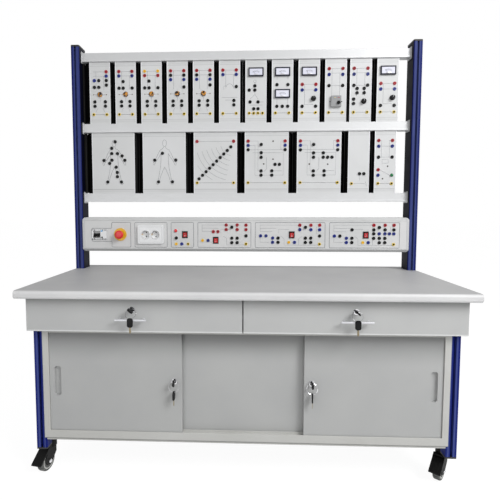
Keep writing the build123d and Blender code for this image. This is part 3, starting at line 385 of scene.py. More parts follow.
@dataclass(frozen=True)
class RailFinish(Brushed):
    """Clear anodised rails, with scuffs and a painted highlight along each lower lip."""

    centres: tuple[float, ...] = (1.048, 1.374, 1.7)
    lip_drop: float = 0.0155
    lip_half: float = 0.006
    painted_lip_gain: float = 0.03
    scuff_gain: float = 0.08

    def shade(self, shader: Shader) -> Term:
        """Give streaks, scuffs and the painted highlight along the lip of each rail.

        Args:
            shader: the material's node tree.

        Returns:
            The factor on the colour.
        """
        height = shader.axis("Z")
        # Painted highlight along the lower lip of each rail.
        lip = height.near(self.centres[0] - self.lip_drop, self.lip_half)
        for centre in self.centres[1:]:
            lip = lip + height.near(centre - self.lip_drop, self.lip_half)
        scuffs = shader.noise(14.0, 5.0, (1.0, 1.0, 3.0)).rise(0.25, 0.7)
        return super().shade(shader) + lip * self.painted_lip_gain + scuffs * self.scuff_gain


@dataclass(frozen=True)
class Lacquer(Finish):
    """Blue lacquer of the profile, with painted highlights along its front and painted shade above the
    worktop, darkest on the uprights' inner sides.
    """

    inner: float = 0.761
    painted_inner_shade: float = 0.92
    worktop: float = 0.712
    painted_shade_above: float = 0.24
    highlight_band: Point = (0.7695, 0.007)
    outer_highlight_band: Point = (0.7865, 0.004)
    leg_highlight_band: Point = (0.7315, 0.003)
    outer_leg_highlight_band: Point = (0.7515, 0.004)
    groove: Point = (0.78, 0.0045)
    groove_gain: float = 1.4
    streak_gain: float = 0.4
    highlight_and_insert_gain: float = 0.55

    def above(self, shader: Shader) -> Term:
        """Give 1 above the worktop and 0 below it."""
        return shader.axis("Z").rise(self.worktop - 0.004, self.worktop)

    def shade(self, shader: Shader) -> Term:
        """Give the clouds, with painted shade above the worktop that is darkest on the inner sides there.

        Args:
            shader: the material's node tree.

        Returns:
            The factor on the colour.
        """
        # Painted shade: darker above the worktop, darkest on the uprights' inner sides.
        inside = 1 - abs(shader.axis("X")).rise(self.inner - 0.0005, self.inner + 0.0005)
        above = self.above(shader)
        return (super().shade(shader) - above * self.painted_shade_above) * (1 - inside * above * self.painted_inner_shade)

    def pattern(self, shader: Shader) -> Term:
        """Give long paler streaks, small worn spots, painted highlights along the front and the grey insert
        in the groove.

        Args:
            shader: the material's node tree.

        Returns:
            How strongly the paler colour shows.
        """
        streaks = shader.noise(30.0, 3.0, (1.0, 1.0, 0.12)).rise(-0.1, 0.8)
        spots = shader.noise(160.0, 4.0, (1.0, 1.0, 0.5)).rise(0.5, 0.62)
        across = abs(shader.axis("X"))
        above = self.above(shader)
        # Painted highlights in stripes along the front; the groove's term is the grey insert's own colour.
        worn = across.near(*self.highlight_band) + across.near(*self.outer_highlight_band)
        worn = worn + across.near(*self.groove) * above * self.groove_gain
        worn = worn + (across.near(*self.leg_highlight_band) + across.near(*self.outer_leg_highlight_band)) * (1 - above)
        return streaks * self.streak_gain + spots * self.streak_gain + worn * self.highlight_and_insert_gain


@dataclass(frozen=True)
class Printed(Finish):
    """Printed face of a teaching module, with faint lines of painted shade near its ends."""

    middles: tuple[float, ...] = (1.211, 1.537)
    shade_line_offset: float = 0.124
    shade_line_loss: float = 0.15

    def shade(self, shader: Shader) -> Term:
        """Give broad mottling and the lines of painted shade.

        Args:
            shader: the material's node tree.

        Returns:
            The factor on the colour.
        """
        height = shader.axis("Z")
        # Painted shade in thin lines near the top and bottom of each panel.
        lines = height.near(self.middles[0] - self.shade_line_offset, 0.0016)
        for middle in self.middles:
            for side in (-1, 1):
                lines = lines + height.near(middle + side * self.shade_line_offset, 0.0022)
                lines = lines + height.near(middle + side * (self.shade_line_offset + 0.008), 0.004) * 0.5
        return super().shade(shader) - lines * self.shade_line_loss


@dataclass(frozen=True)
class Amber(Finish):
    """Amber glass over a brass reflector, with dark folds."""

    def pattern(self, shader: Shader) -> Term:
        """Give sharp dark folds across the glass."""
        return shader.noise(105.0, 1.0, (1.0, 0.4, 1.4)).rise(-0.26, 0.08)


@dataclass(frozen=True)
class Rubber(Finish):
    """Rubber tread, dusty where it runs on the floor."""

    def pattern(self, shader: Shader) -> Term:
        """Give patches of dust."""
        return shader.noise(55.0, 5.0).rise(-0.1, 0.6)


class Paint(Enum):
    """The finishes of the bench."""

    # Painted highlight on the worktop's rounded front edge, set in Laminate.
    WORKTOP = Laminate("worktop_laminate", (178, 178, 179), (188, 188, 188), 0.46, bump=0.00002)
    CABINET = PowderCoat("cabinet_powder_coat", (181, 182, 182), (186, 187, 186), 0.5)
    # Painted shade just below the worktop and a painted highlight along the drawer front's lower lip.
    DRAWER = PowderCoat(
        "drawer_powder_coat", (186, 187, 187), (191, 192, 191), 0.5,
        painted_shade_low=0.656, painted_shade_high=0.677, painted_shade_loss=0.3, lip=0.5605, painted_lip_gain=0.4,
    )
    # Painted shade below the drawer housing, fading downwards.
    DOOR = PowderCoat(
        "door_powder_coat", (176, 177, 177), (181, 182, 181), 0.5,
        painted_shade_low=0.43, painted_shade_high=0.556, painted_shade_loss=0.46,
    )
    # Painted shade line along the door frame's bottom.
    FRAME = PowderCoat(
        "door_frame_powder_coat", (192, 192, 188), (198, 198, 195), 0.48, lip=0.1495, painted_lip_gain=-0.4,
    )
    # Painted highlights along the front and painted shade above the worktop, set in Lacquer.
    PROFILE = Lacquer("blue_lacquer", (17, 31, 112), (84, 96, 152), 0.55, specular=0.12)
    CAPS = Finish("profile_cap_plastic", (32, 32, 34), (44, 43, 42), 0.55)
    # Painted highlight along each rail's lower lip, set in RailFinish.
    RAIL = RailFinish("anodised_rail", (206, 207, 208), (214, 215, 216), 0.5, 0.35, grain=0.03, cloud=0.02)
    STEEL = Brushed("zinc_plated_steel", (168, 170, 172), (190, 190, 190), 0.38, 1.0)
    CHROME = Brushed("chrome", (205, 207, 210), (225, 226, 228), 0.14, 1.0, grain=0.01, bump=0.000004)
    BRASS = Brushed("brass", (196, 150, 62), (226, 186, 104), 0.3, 1.0, bump=0.000006)
    CASE = Finish("module_case_plastic", (7, 7, 7), (15, 15, 15), 0.5, specular=0.25, cloud=0.1, bump=0.00005)
    # Painted shade lines near the panels' ends, set in Printed.
    PANEL = Printed("module_print", (207, 208, 208), (212, 213, 214), 0.45, bump=0.00001)
    EDGE = Finish("panel_edge_white", (240, 241, 243), (232, 233, 236), 0.4, bump=0.00001)
    INK = Finish("diagram_ink", (146, 148, 152), (128, 130, 136), 0.6)
    DARK_INK = Finish("dark_diagram_ink", (84, 86, 92), (100, 102, 108), 0.6)
    BLACK = Finish("black_plastic", (6, 6, 7), (12, 12, 13), 0.38, specular=0.25, bump=0.00002)
    # Near black: painted shade inside holes, bores, slots and terminal mouths; the starter's fixing screws
    # take it too.
    PIT = Finish("jack_bore", (4, 4, 5), (8, 8, 8), 0.6)
    RED = Finish("red_plastic", (174, 4, 30), (148, 2, 22), 0.3, coat=0.1, bump=0.00001)
    BLUE = Finish("blue_plastic", (4, 38, 140), (3, 28, 112), 0.3, coat=0.1, bump=0.00001)
    YELLOW = Finish("yellow_plastic", (246, 212, 62), (236, 198, 44), 0.34, coat=0.1, bump=0.00001)
    GREEN = Finish("earth_green_plastic", (10, 22, 8), (16, 34, 12), 0.5, specular=0.3)
    ORANGE = Finish("orange_plastic", (240, 172, 34), (228, 150, 24), 0.35)
    SIGNAL_RED = Finish("signal_red_plastic", (226, 30, 34), (208, 22, 30), 0.3, coat=0.4, bump=0.00001)
    SIGNAL_YELLOW = Finish("signal_yellow_plastic", (236, 190, 34), (222, 170, 24), 0.36, coat=0.2)
    ROCKER = Finish("rocker_red", (178, 22, 28), (206, 48, 48), 0.2, coat=0.5, bump=0.000005)
    AMBER = Amber("amber_lens", (206, 140, 38), (46, 26, 6), 0.2, coat=0.2, bump=0.0003, grain_scale=200.0)
    LED = Finish("led_lens", (88, 84, 78), (60, 58, 54), 0.15, coat=0.4)
    GREEN_LENS = Finish("green_lens", (30, 130, 70), (18, 96, 52), 0.15, coat=0.5)
    WHITE = Finish("white_plastic", (226, 227, 228), (233, 234, 235), 0.35, coat=0.1, bump=0.00001)
    DIAL = Finish("meter_dial", (218, 219, 234), (226, 227, 238), 0.45, specular=0.3)
    METER = Finish("meter_frame", (15, 16, 34), (24, 25, 46), 0.36, specular=0.3)
    CONSOLE = PowderCoat("console_powder_coat", (196, 197, 197), (202, 203, 203), 0.46)
    FACE = PowderCoat("console_face_print", (206, 207, 207), (212, 212, 212), 0.46)
    CAP = Finish("console_cap_plastic", (192, 193, 194), (199, 200, 201), 0.42)
    GREY = Finish("starter_grey_plastic", (150, 151, 152), (160, 161, 162), 0.4)
    TREAD = Rubber("tyre_rubber", (86, 87, 86), (134, 134, 130), 0.75, bump=0.0001, grain_scale=350.0)
    BEZEL = Brushed("lamp_bezel", (204, 205, 208), (220, 220, 224), 0.3, 0.8)
    HANDLE = Brushed("handle_chrome", (214, 215, 219), (226, 227, 230), 0.3, 0.4, grain=0.01, bump=0.000004)
    OUTLINE = Finish("console_outline_ink", (98, 101, 107), (112, 115, 121), 0.5)
    BLUE_FLAG = Finish("breaker_flag_blue", (56, 176, 236), (48, 160, 224), 0.4)
    HOOD = Finish("caster_black", (7, 7, 7), (14, 14, 14), 0.55, specular=0.22, bump=0.00004)
    STUD = Finish("panel_stud", (104, 92, 76), (78, 68, 56), 0.35, specular=0.6)
    BLADE = Brushed("key_blade", (142, 130, 104), (162, 151, 124), 0.4, 0.8)
    WHEEL_DISC = Finish("wheel_disc_plastic", (206, 206, 202), (186, 186, 182), 0.45, cloud=0.08)


# Working with pieces


def clear() -> None:
    """Deselect every object."""
    bpy.ops.object.select_all(action="DESELECT")


def take(*pieces: Piece) -> None:
    """Select only these pieces and make the first one active.

    Args:
        pieces: the pieces.
    """
    clear()
    for piece in pieces:
        piece.select_set(True)
    bpy.context.view_layer.objects.active = pieces[0]


def named(name: str) -> Piece:
    """Name the active object and set its place into its mesh.

    Args:
        name: the piece's name.

    Returns:
        The object.
    """
    piece = bpy.context.view_layer.objects.active
    piece.name = name
    piece.data.name = name
    take(piece)
    bpy.ops.object.transform_apply(location=True, rotation=True, scale=True)
    return piece


def linked(name: str, data: bpy.types.ID) -> Piece:
    """Put data into the scene as a new object.

    Args:
        name: name of the object.
        data: its mesh, curve, lamp or camera.

    Returns:
        The object.
    """
    piece = bpy.data.objects.new(name, data)
    bpy.context.scene.collection.objects.link(piece)
    return piece


@contextmanager
def editing(piece: Piece, mode: str = "FACE", action: str = "DESELECT") -> Iterator[bmesh.types.BMesh]:
    """Open a piece in edit mode, with all or nothing of it selected.

    Args:
        piece: the piece to edit.
        mode: VERT, EDGE or FACE.
        action: SELECT or DESELECT.

    Yields:
        The mesh that is being edited.
    """
    take(piece)
    bpy.ops.object.mode_set(mode="EDIT")
    bpy.ops.mesh.select_mode(type=mode)
    bpy.ops.mesh.select_all(action=action)
    yield bmesh.from_edit_mesh(piece.data)
    bpy.ops.object.mode_set(mode="OBJECT")


def pick(mesh: bmesh.types.BMesh, test: Callable[[bmesh.types.BMFace], bool]) -> None:
    """Select the faces that pass a test.

    Args:
        mesh: the mesh that is being edited.
        test: tells whether a face is selected.
    """
    for face in mesh.faces:
        face.select_set(test(face))
    mesh.select_flush(True)


def faces_front(face: bmesh.types.BMFace) -> bool:
    """Tell whether a face looks to the front."""
    return face.normal.y < -0.9


def smooth(piece: Piece, angle: float = SMOOTH) -> None:
    """Shade a piece smoothly, apart from edges sharper than an angle in degrees."""
    take(piece)
    bpy.ops.object.shade_smooth_by_angle(angle=math.radians(angle))


def block(name: str, low: Place, high: Place, ease: float = 0.0) -> Piece:
    """Make a block between two corners, with eased edges.

    Args:
        name: the piece's name.
        low: lowest corner in millimetres.
        high: highest corner in millimetres.
        ease: width of the eased edges in millimetres.

    Returns:
        The block.
    """
    clear()
    middle = [(a + b) / 2 * MM for a, b in zip(low, high)]
    size = [(b - a) * MM for a, b in zip(low, high)]
    bpy.ops.mesh.primitive_cube_add(size=1, location=middle, scale=size)
    piece = named(name)
    if ease:
        with editing(piece, "EDGE", "SELECT"):
            bpy.ops.mesh.bevel(offset=ease * MM, segments=ROUNDING, affect="EDGES", clamp_overlap=True)
        smooth(piece)
    return piece


def turned(
    name: str, steps: Sequence[Point], sides: int = 24, bend: float = SMOOTH, hollow: bool = False
) -> Piece:
    """Turn a piece on an axis along Y, from its back to its front.

    Args:
        name: the piece's name.
        steps: radius and Y of each step, in millimetres.
        sides: how many faces go round.
        bend: sharpest angle that is shaded smoothly, in degrees.
        hollow: whether the steps go round the section of a ring, instead of up to a closed front.

    Returns:
        The piece, with its axis through the origin.
    """
    clear()
    radius, depth = steps[0]
    bpy.ops.mesh.primitive_circle_add(
        vertices=sides,
        radius=radius * MM,
        fill_type="NOTHING" if hollow else "NGON",
        location=(0, depth * MM, 0),
        rotation=(math.pi / 2, 0, 0),
    )
    piece = named(name)
    with editing(piece, "EDGE" if hollow else "FACE", "SELECT"):
        for wider, further in [*steps[1:], *(steps[:1] if hollow else ())]:
            move = (0, (further - depth) * MM, 0)
            bpy.ops.mesh.extrude_region_move(TRANSFORM_OT_translate={"value": move})
            ratio = wider / radius
            bpy.ops.transform.resize(value=(ratio, 1, ratio), center_override=(0, further * MM, 0))
            radius, depth = wider, further
        bpy.ops.mesh.select_all(action="SELECT")
        bpy.ops.mesh.remove_doubles(threshold=SEAM)
        bpy.ops.mesh.normals_make_consistent(inside=False)
    smooth(piece, bend)
    return piece


def moved(piece: Piece, place: Place, turn: Matrix | None = None) -> Piece:
    """Turn and move a piece's mesh, with its object kept at the origin.

    Args:
        piece: the piece.
        place: where its origin goes, in metres.
        turn: turn about the origin, before the move.

    Returns:
        The same piece.
    """
    if turn:
        piece.data.transform(turn.to_4x4())
    piece.data.transform(Matrix.Translation(Vector(place)))
    return piece


def joined(name: str, pieces: Sequence[Piece]) -> Piece:
    """Join pieces of one finish into one object.

    Args:
        name: the new piece's name.
        pieces: the pieces, which are used up.

    Returns:
        The joined piece.
    """
    take(*pieces)
    if len(pieces) > 1:
        bpy.ops.object.join()
    return named(name)


def stamped(name: str, template: Piece, places: Sequence[Place]) -> Piece:
    """Copy a piece to many places, each copy with its own mesh, and join the copies.

    Args:
        name: the new piece's name.
        template: the piece that is copied and then removed.
        places: where its origin goes, in metres.

    Returns:
        The joined copies.
    """
    copies = [moved(linked(name, template.data.copy()), place) for place in places]
    bpy.data.objects.remove(template)
    return joined(name, copies)


def doubled(name: str, piece: Piece) -> Piece:
    """Join a piece with its copy turned half round an upright axis.

    Args:
        name: the new piece's name.
        piece: the piece, which is used up.

    Returns:
        The joined pair.
    """
    other = linked(name, piece.data.copy())
    other.data.transform(Matrix.Rotation(math.pi, 4, "Z"))
    return joined(name, [piece, other])


def softened(node: str, width: float) -> Piece:
    """Copy a CAD node's shape and ease its sharp edges.

    Args:
        node: the CAD node.
        width: width of the eased edges in millimetres.

    Returns:
        The new piece.
    """
    piece = linked(f"{node}_dressed", frame["nodes"][node].data.copy())
    with editing(piece, "VERT", "SELECT"):
        bpy.ops.mesh.remove_doubles(threshold=WELD)
        bpy.ops.mesh.dissolve_limited(angle_limit=math.radians(FLAT))
    ease = piece.modifiers.new("ease", "BEVEL")
    ease.width = width * MM
    ease.segments = ROUNDING
    ease.limit_method = "ANGLE"
    ease.angle_limit = math.radians(SHARP)
    take(piece)
    bpy.ops.object.modifier_apply(modifier="ease")
    smooth(piece)
    even = piece.modifiers.new("even", "WEIGHTED_NORMAL")
    even.keep_sharp = True
    bpy.ops.object.modifier_apply(modifier="even")
    return piece


def dress(piece: Piece, paint: Paint, body: str = BENCH, replaced: Sequence[str] = ()) -> Piece:
    """Finish a piece: its material, the body it moves with and the nodes it stands for.

    Args:
        piece: the piece.
        paint: its finish.
        body: the CAD body that carries it.
        replaced: CAD nodes that it stands for.

    Returns:
        The same piece.
    """
    piece.data.materials.clear()
    piece.data.materials.append(paint.value.material())
    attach(piece, body)
    if replaced:
        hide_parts(*replaced)
    log.info("%s rides on %s", piece.name, body)
    return piece


def ease_node(node: str, width: float, paint: Paint, body: str = BENCH) -> Piece:
    """Replace a CAD node by its own shape with eased edges, and finish it."""
    return dress(softened(node, width), paint, body, [node])


def islands(node: str) -> list[tuple[Vector, Vector]]:
    """Find the box of each solid of a CAD node.

    Args:
        node: the CAD node.

    Returns:
        Lowest and highest corner of each solid, in metres, in order of height and then X.
    """
    mesh = frame["nodes"][node].data
    parent: dict[tuple, tuple] = {}

    def root(key: tuple) -> tuple:
        """Follow a corner to the one that stands for its solid.

        Args:
            key: the corner.

        Returns:
            The corner that stands for the solid.
        """
        while parent[key] != key:
            parent[key] = parent[parent[key]]
            key = parent[key]
        return key

    keys = [tuple(round(value, 5) for value in vertex.co) for vertex in mesh.vertices]
    for key in keys:
        parent[key] = key
    for polygon in mesh.polygons:
        first = root(keys[polygon.vertices[0]])
        for number in polygon.vertices[1:]:
            parent[root(keys[number])] = first
    groups: dict[tuple, list] = {}
    for key in parent:
        groups.setdefault(root(key), []).append(key)
    boxes = []
    for points in groups.values():
        low = Vector([min(point[axis] for point in points) for axis in range(3)])
        high = Vector([max(point[axis] for point in points) for axis in range(3)])
        boxes.append((low, high))
    return sorted(boxes, key=lambda box: (round(box[0].z, 4), round(box[0].x, 4)))


def metres(x: float, y: float, z: float) -> Place:
    """Turn a place in millimetres into metres."""
    return (x * MM, y * MM, z * MM)


def seat(low: Vector, high: Vector) -> Place:
    """Give the middle of the back of a box."""
    return ((low.x + high.x) / 2, high.y, (low.z + high.z) / 2)


def seats(node: str) -> list[Place]:
    """Find where each solid of a CAD node stands on its panel."""
    return [seat(*box) for box in islands(node)]


def joint_of(body: str) -> dict:
    """Find the joint that carries a CAD body."""
    return next(joint for joint in frame["joints"] if joint["child"] == body)


def inked(name: str, lines: Sequence[Line], depth: float, width: float) -> Piece:
    """Draw lines on an upright face, as fine raised ink.

    Args:
        name: the piece's name.
        lines: points of each line, X and Z in millimetres.
        depth: Y of the face in millimetres.
        width: how wide the ink is, in millimetres.

    Returns:
        The ink as a mesh.
    """
    curve = bpy.data.curves.new(name, "CURVE")
    curve.dimensions = "3D"
    curve.bevel_depth = width / 2 * MM
    curve.bevel_resolution = 0
    curve.use_fill_caps = True
    for line in lines:
        spline = curve.splines.new("POLY")
        spline.points.add(len(line) - 1)
        for point, (x, z) in zip(spline.points, line):
            point.co = (x * MM, depth * MM, z * MM, 1.0)
    take(linked(name, curve))
    bpy.ops.object.convert(target="MESH")
    return named(name)


def polar(middle: Point, radius: float, angle: float) -> Point:
    """Give the point at a distance and an angle in degrees from a middle."""
    turn = math.radians(angle)
    return (middle[0] + radius * math.cos(turn), middle[1] + radius * math.sin(turn))


def rounded(low: Point, high: Point, corner: float) -> Line:
    """Give a closed rectangle with rounded corners.

    Args:
        low: its lowest corner.
        high: its highest corner.
        corner: radius of the corners.

    Returns:
        The line.
    """
    line = []
    turns = (
        (high[0] - corner, high[1] - corner, 0),
        (low[0] + corner, high[1] - corner, 90),
        (low[0] + corner, low[1] + corner, 180),
        (high[0] - corner, low[1] + corner, 270),
    )
    for x, z, start in turns:
        line += [polar((x, z), corner, start + 30 * step) for step in range(4)]
    return line + [line[0]]


def arc(middle: Point, radius: float, start: float, end: float, steps: int = 14) -> Line:
    """Give an arc between two angles in degrees."""
    return [polar(middle, radius, start + (end - start) * step / steps) for step in range(steps + 1)]


def shifted(lines: Sequence[Line], x: float, z: float) -> list[Line]:
    """Move lines by X and Z."""
    return [[(point[0] + x, point[1] + z) for point in line] for line in lines]


@dataclass
class Studio:
    """Camera, lights, floor and background."""

    lens: float = 30.53
    camera_place: Place = (0.00214, -1.77333, 0.99249)
    camera_turn: Place = (math.pi / 2 - 0.0702, 0.0, 0.0424)
    camera_shift: Point = (0.0486, -0.0219)
    floor_half: float = 30.0
    floor_colour: Colour = (200, 200, 200)
    floor_roughness: float = 0.9
    floor_glow: float = 1.2
    floor_white: float = 0.78
    sky_light: float = 0.45
    sky_seen: float = 1.0
    lamp_target: Place = (0.0, 0.0, 0.9)
    lamps: tuple[tuple[str, Place, float, float], ...] = (
        ("key_light", (2.7, -2.5, 3.3), 2.0, 138.0),
        ("fill_light", (-1.6, -3.9, 1.5), 2.4, 22.0),
        ("back_light", (0.5, 3.4, 3.0), 2.4, 10.0),
    )

    def build(self) -> None:
        """Set up the studio."""
        self.camera()
        self.floor()
        self.light()
        bpy.context.scene.view_settings.view_transform = "Standard"

    def camera(self) -> None:
        """Put the camera where the photograph was taken."""
        data = bpy.data.cameras.new("camera")
        data.lens = self.lens
        data.shift_x, data.shift_y = self.camera_shift
        piece = linked("camera", data)
        piece.location = self.camera_place
        piece.rotation_euler = self.camera_turn
        bpy.context.scene.camera = piece

    def floor(self) -> None:
        """Lay a pale floor that shows white but keeps the shadow."""
        clear()
        bpy.ops.mesh.primitive_plane_add(size=2 * self.floor_half, location=(0, 0, 0))
        piece = named("floor")
        shader = Shader("studio_floor")
        shader.surface.inputs["Base Color"].default_value = linear(self.floor_colour)
        shader.surface.inputs["Roughness"].default_value = self.floor_roughness
        white = shader.node("ShaderNodeEmission", {}, {"Color": (1, 1, 1, 1), "Strength": self.floor_glow})
        mixed = shader.node("ShaderNodeMixShader", {}, {0: self.seen(shader) * self.floor_white})
        output = shader.tree.nodes["Material Output"]
        shader.tree.links.new(shader.surface.outputs[0], mixed.inputs[1])
        shader.tree.links.new(white.outputs[0], mixed.inputs[2])
        shader.tree.links.new(mixed.outputs[0], output.inputs["Surface"])
        piece.data.materials.append(shader.material)

    def seen(self, shader: Shader) -> Term:
        """Give 1 for what the camera sees, itself or in metal and glass.

        Args:
            shader: the floor's node tree.

        Returns:
            The mask.
        """
        path = shader.node("ShaderNodeLightPath", {}, {})
        camera, glossy, glass = (
            Term(shader, path.outputs[f"Is {ray} Ray"]) for ray in ("Camera", "Glossy", "Transmission")
        )
        return glass.joined("MAXIMUM", camera.joined("MAXIMUM", camera, glossy), glass)

    def light(self) -> None:
        """Hang soft lamps and set the sky round the bench."""
        for name, place, size, power in self.lamps:
            data = bpy.data.lights.new(name, "AREA")
            data.shape = "DISK"
            data.size = size
            data.energy = power
            piece = linked(name, data)
            piece.location = place
            towards = Vector(self.lamp_target) - Vector(place)
            piece.rotation_euler = towards.to_track_quat("-Z", "Y").to_euler()
        world = bpy.data.worlds.new("studio_sky")
        world.use_nodes = True
        bpy.context.scene.world = world
        tree = world.node_tree
        background = tree.nodes["Background"]
        path = tree.nodes.new("ShaderNodeLightPath")
        reach = tree.nodes.new("ShaderNodeMapRange")
        tree.links.new(path.outputs["Is Camera Ray"], reach.inputs["Value"])
        reach.inputs["To Min"].default_value = self.sky_light
        reach.inputs["To Max"].default_value = self.sky_seen
        tree.links.new(reach.outputs[0], background.inputs["Strength"])
        background.inputs["Color"].default_value = (1, 1, 1, 1)


@dataclass
class Structure:
    """Worktop, profiles, rails and what holds them together."""

    ease: float = 0.8

    def build(self) -> None:
        """Dress the frame of the bench."""
        ease_node("worktop", 1.0, Paint.WORKTOP)
        for node in ("uprights", "legs", "side_stretchers"):
            ease_node(node, self.ease, Paint.PROFILE)
        ease_node("profile_end_caps", self.ease, Paint.CAPS)
        ease_node("module_rails", 0.5, Paint.RAIL)
        ease_node("frame_bolts", 0.4, Paint.STEEL)


@dataclass
class ModuleWall:
    """Panels of the teaching modules, their cases and what is printed on them."""

    upper_middle: float = 1537.0
    lower_middle: float = 1211.0
    split: float = 1.37
    inner_side: float = -759.5
    lamp_modules: int = 5
    edge_width: float = 3.0
    line_width: float = 1.15

    def build(self) -> None:
        """Dress the cases and the panels."""
        ease_node("module_cases", 0.8, Paint.CASE)
        ease_node("module_panels", 0.4, Paint.PANEL)
        self.face = islands("module_panels")[0][0].y / MM
        self.edges()
        self.side_plates()
        self.print_upper()
        self.print_lower()

    def row(self, node: str, upper: bool) -> list[tuple[Vector, Vector]]:
        """Give the boxes of a node's solids in one row, from left to right.

        Args:
            node: the CAD node.
            upper: whether the row is the upper one.

        Returns:
            Lowest and highest corner of each solid, in metres.
        """
        found = [box for box in islands(node) if (box[0].z > self.split) == upper]
        return sorted(found, key=lambda box: box[0].x)

    def middles(self, upper: bool) -> list[float]:
        """Give X of the middle of each module of a row, in millimetres."""
        return [(low.x + high.x) / 2 / MM for low, high in self.row("module_panels", upper)]

    def edges(self) -> None:
        """Add the white edge strips of every panel."""
        strips = []
        for low, high in islands("module_panels"):
            for x in (low.x / MM, high.x / MM - self.edge_width):
                corner = (x, self.face - 0.5, low.z / MM + 5)
                other = (x + self.edge_width, self.face + 0.4, high.z / MM - 5)
                strips.append(block("strip", corner, other, 0.25))
        dress(joined("panel_edge_strips", strips), Paint.EDGE)

    def side_plates(self) -> None:
        """Add the black plates beside each case, up to the upright or nearly to the case before it."""
        plates = []
        for upper in (True, False):
            edge = self.inner_side
            for low, high in self.row("module_cases", upper):
                corner = (edge, low.y / MM + 3, low.z / MM + 3)
                other = (low.x / MM + 0.5, high.y / MM - 3, high.z / MM - 3)
                plates.append(block("plate", corner, other, 0.2))
                edge = high.x / MM + 0.3
        dress(joined("case_side_plates", plates), Paint.CASE)

    def print_upper(self) -> None:
        """Print the circuits of the upper row."""
        faint: list[Line] = []
        dark: list[Line] = []
        for number, x in enumerate(self.middles(True)):
            dark += shifted([[(-24, -99), (24, -99)]], x, self.upper_middle)
            faint += shifted(self.upper_circuit(number), x, self.upper_middle)
        dress(inked("upper_circuits", faint, self.face, self.line_width), Paint.INK)
        dress(inked("upper_earth_lines", dark, self.face, self.line_width), Paint.DARK_INK)
        stud = turned("stud", [(2.4, 0.2), (2.4, -0.5), (1.7, -0.9), (0.8, -0.9)], 12)
        level = self.upper_middle - 7
        with_lamps = self.middles(True)[:self.lamp_modules]
        places = [metres(x + at, self.face, level) for x in with_lamps for at in (-31, 31)]
        dress(stamped("lamp_side_studs", stud, places), Paint.STUD)

    def upper_circuit(self, number: int) -> list[Line]:
        """Give the printed lines of one upper module.

        Args:
            number: which module it is, from the left.

        Returns:
            The lines, from the panel's middle.
        """
        supply = [[(-31, 98), (31, 98)], [(-31, 78), (31, 78)], [(-18, 98), (-18, 15)], [(18, 78), (18, 15)]]
        lamp = [[(-31, -7), (-14, -7)], [(14, -7), (31, -7)], [(0, -20), (0, -40)]]
        legs = [[(-12, -70), (-20, -84), (-17, -86)], [(12, -70), (20, -84), (17, -86)]]
        if number < self.lamp_modules:
            return supply + lamp + legs
        if number == 5:
            coil = [arc((0, 20), 16, 10, 170, 8), [(-27, 10), (-27, 26), (-16, 26)]]
            return supply + coil + [[(-36, -26), (36, -26)], [(-20, -38), (8, -38)]]
        if number == 6:
            star = [[(-5, 25), (-5, 40)], [(-31, 6), (-14, 16)], [(-5, 6), (-5, -14), (-27, -34)]]
            star += [[(-5, -14), (10, -34)], arc((-5, 46), 6, 0, 360, 12)]
            return star + [[(10, -48), (36, -48)], [(-27, -62), (30, -62)]]
        if number == 7:
            return [[(x, low), (x, high)] for low, high in ((52, 66), (-58, -34)) for x in (-25, 25)]
        if number in (8, 11):
            feed = [[(-31, 29), (31, 29)], [(-31, 4), (31, 4)]]
            return feed + [[(-20, 29), (-20, -62)], [(-20, -62), (20, -62)]]
        return supply + [[(-18, 15), (-18, -26)], [(18, 15), (18, -26)], [(-31, 22), (31, 22)]]

    def print_lower(self) -> None:
        """Print the drawings of the lower row."""
        figures = (self.figure(4), self.figure(2))
        drawings = (*figures, self.arcs(), self.net(), self.net(), self.probe(), self.relay())
        middles = self.middles(False)
        faint: list[Line] = []
        dark: list[Line] = []
        for number, (x, drawing) in enumerate(zip(middles, drawings)):
            (dark if drawing in figures else faint).extend(shifted(drawing, x, self.lower_middle))
            if number in (2, 3, 4):
                dark += shifted([[(-80, -94), (80, -94)]], x, self.lower_middle)
        dark += shifted([[(-24, -99), (24, -99)]], middles[-1], self.lower_middle)
        dress(inked("lower_circuits", faint, self.face, self.line_width), Paint.INK)
        dress(inked("lower_outlines", dark, self.face, self.line_width), Paint.DARK_INK)

    def figure(self, aside: float) -> list[Line]:
        """Give a plain outline of a standing figure.

        Args:
            aside: how far it stands to the right.

        Returns:
            The lines, from the panel's middle.
        """
        arm = [(4, 75), (8, 68), (22, 61), (32, 46), (42, 26), (52, 10)]
        arm += [(60, -1), (59, -9), (53, -10), (50, -3)]
        inner_arm = [(50, -3), (46, 5), (37, 17), (27, 31), (18, 44)]
        side = [(19, 44), (19, 12), (22, -20), (28, -52), (36, -86), (45, -97), (40, -102), (33, -99)]
        leg = [(30, -90), (21, -62), (10, -38), (0, -19)]
        right = [arm, inner_arm, side, leg]
        left = [[(-x, z) for x, z in line] for line in right]
        turns = [math.radians(angle) for angle in range(0, 361, 24)]
        head = [(10 * math.cos(turn), 92 + 16 * math.sin(turn)) for turn in turns]
        lines = right + left + [head]
        return [[(x * 0.92 + aside, z) for x, z in line] for line in lines]

    def arcs(self) -> list[Line]:
        """Give the arcs of the potential rings, from the panel's middle."""
        rings = [arc((86.0, 93.0), 62 + 23 * step, 195, 258) for step in range(6)]
        return rings + [arc((86.0, 93.0), 200, 212, 240, 8), [(-80, 99), (80, 99)]]

    def net(self) -> list[Line]:
        """Give the lines of a supply network, from the panel's middle."""
        return [
            [(-80, 99), (-40, 99), (-40, -39), (-25, -39)],
            [(-80, 79), (-54, 79), (-54, -59), (78, -59), (78, 45), (50, 45)],
            [(-80, 59), (80, 59)],
            [(-66, 45), (60, 45)],
            [(0, 24), (0, -30), (-12, -42)],
            [(66, 59), (66, 99), (80, 99)],
            [(72, -39), (25, -39)],
        ]

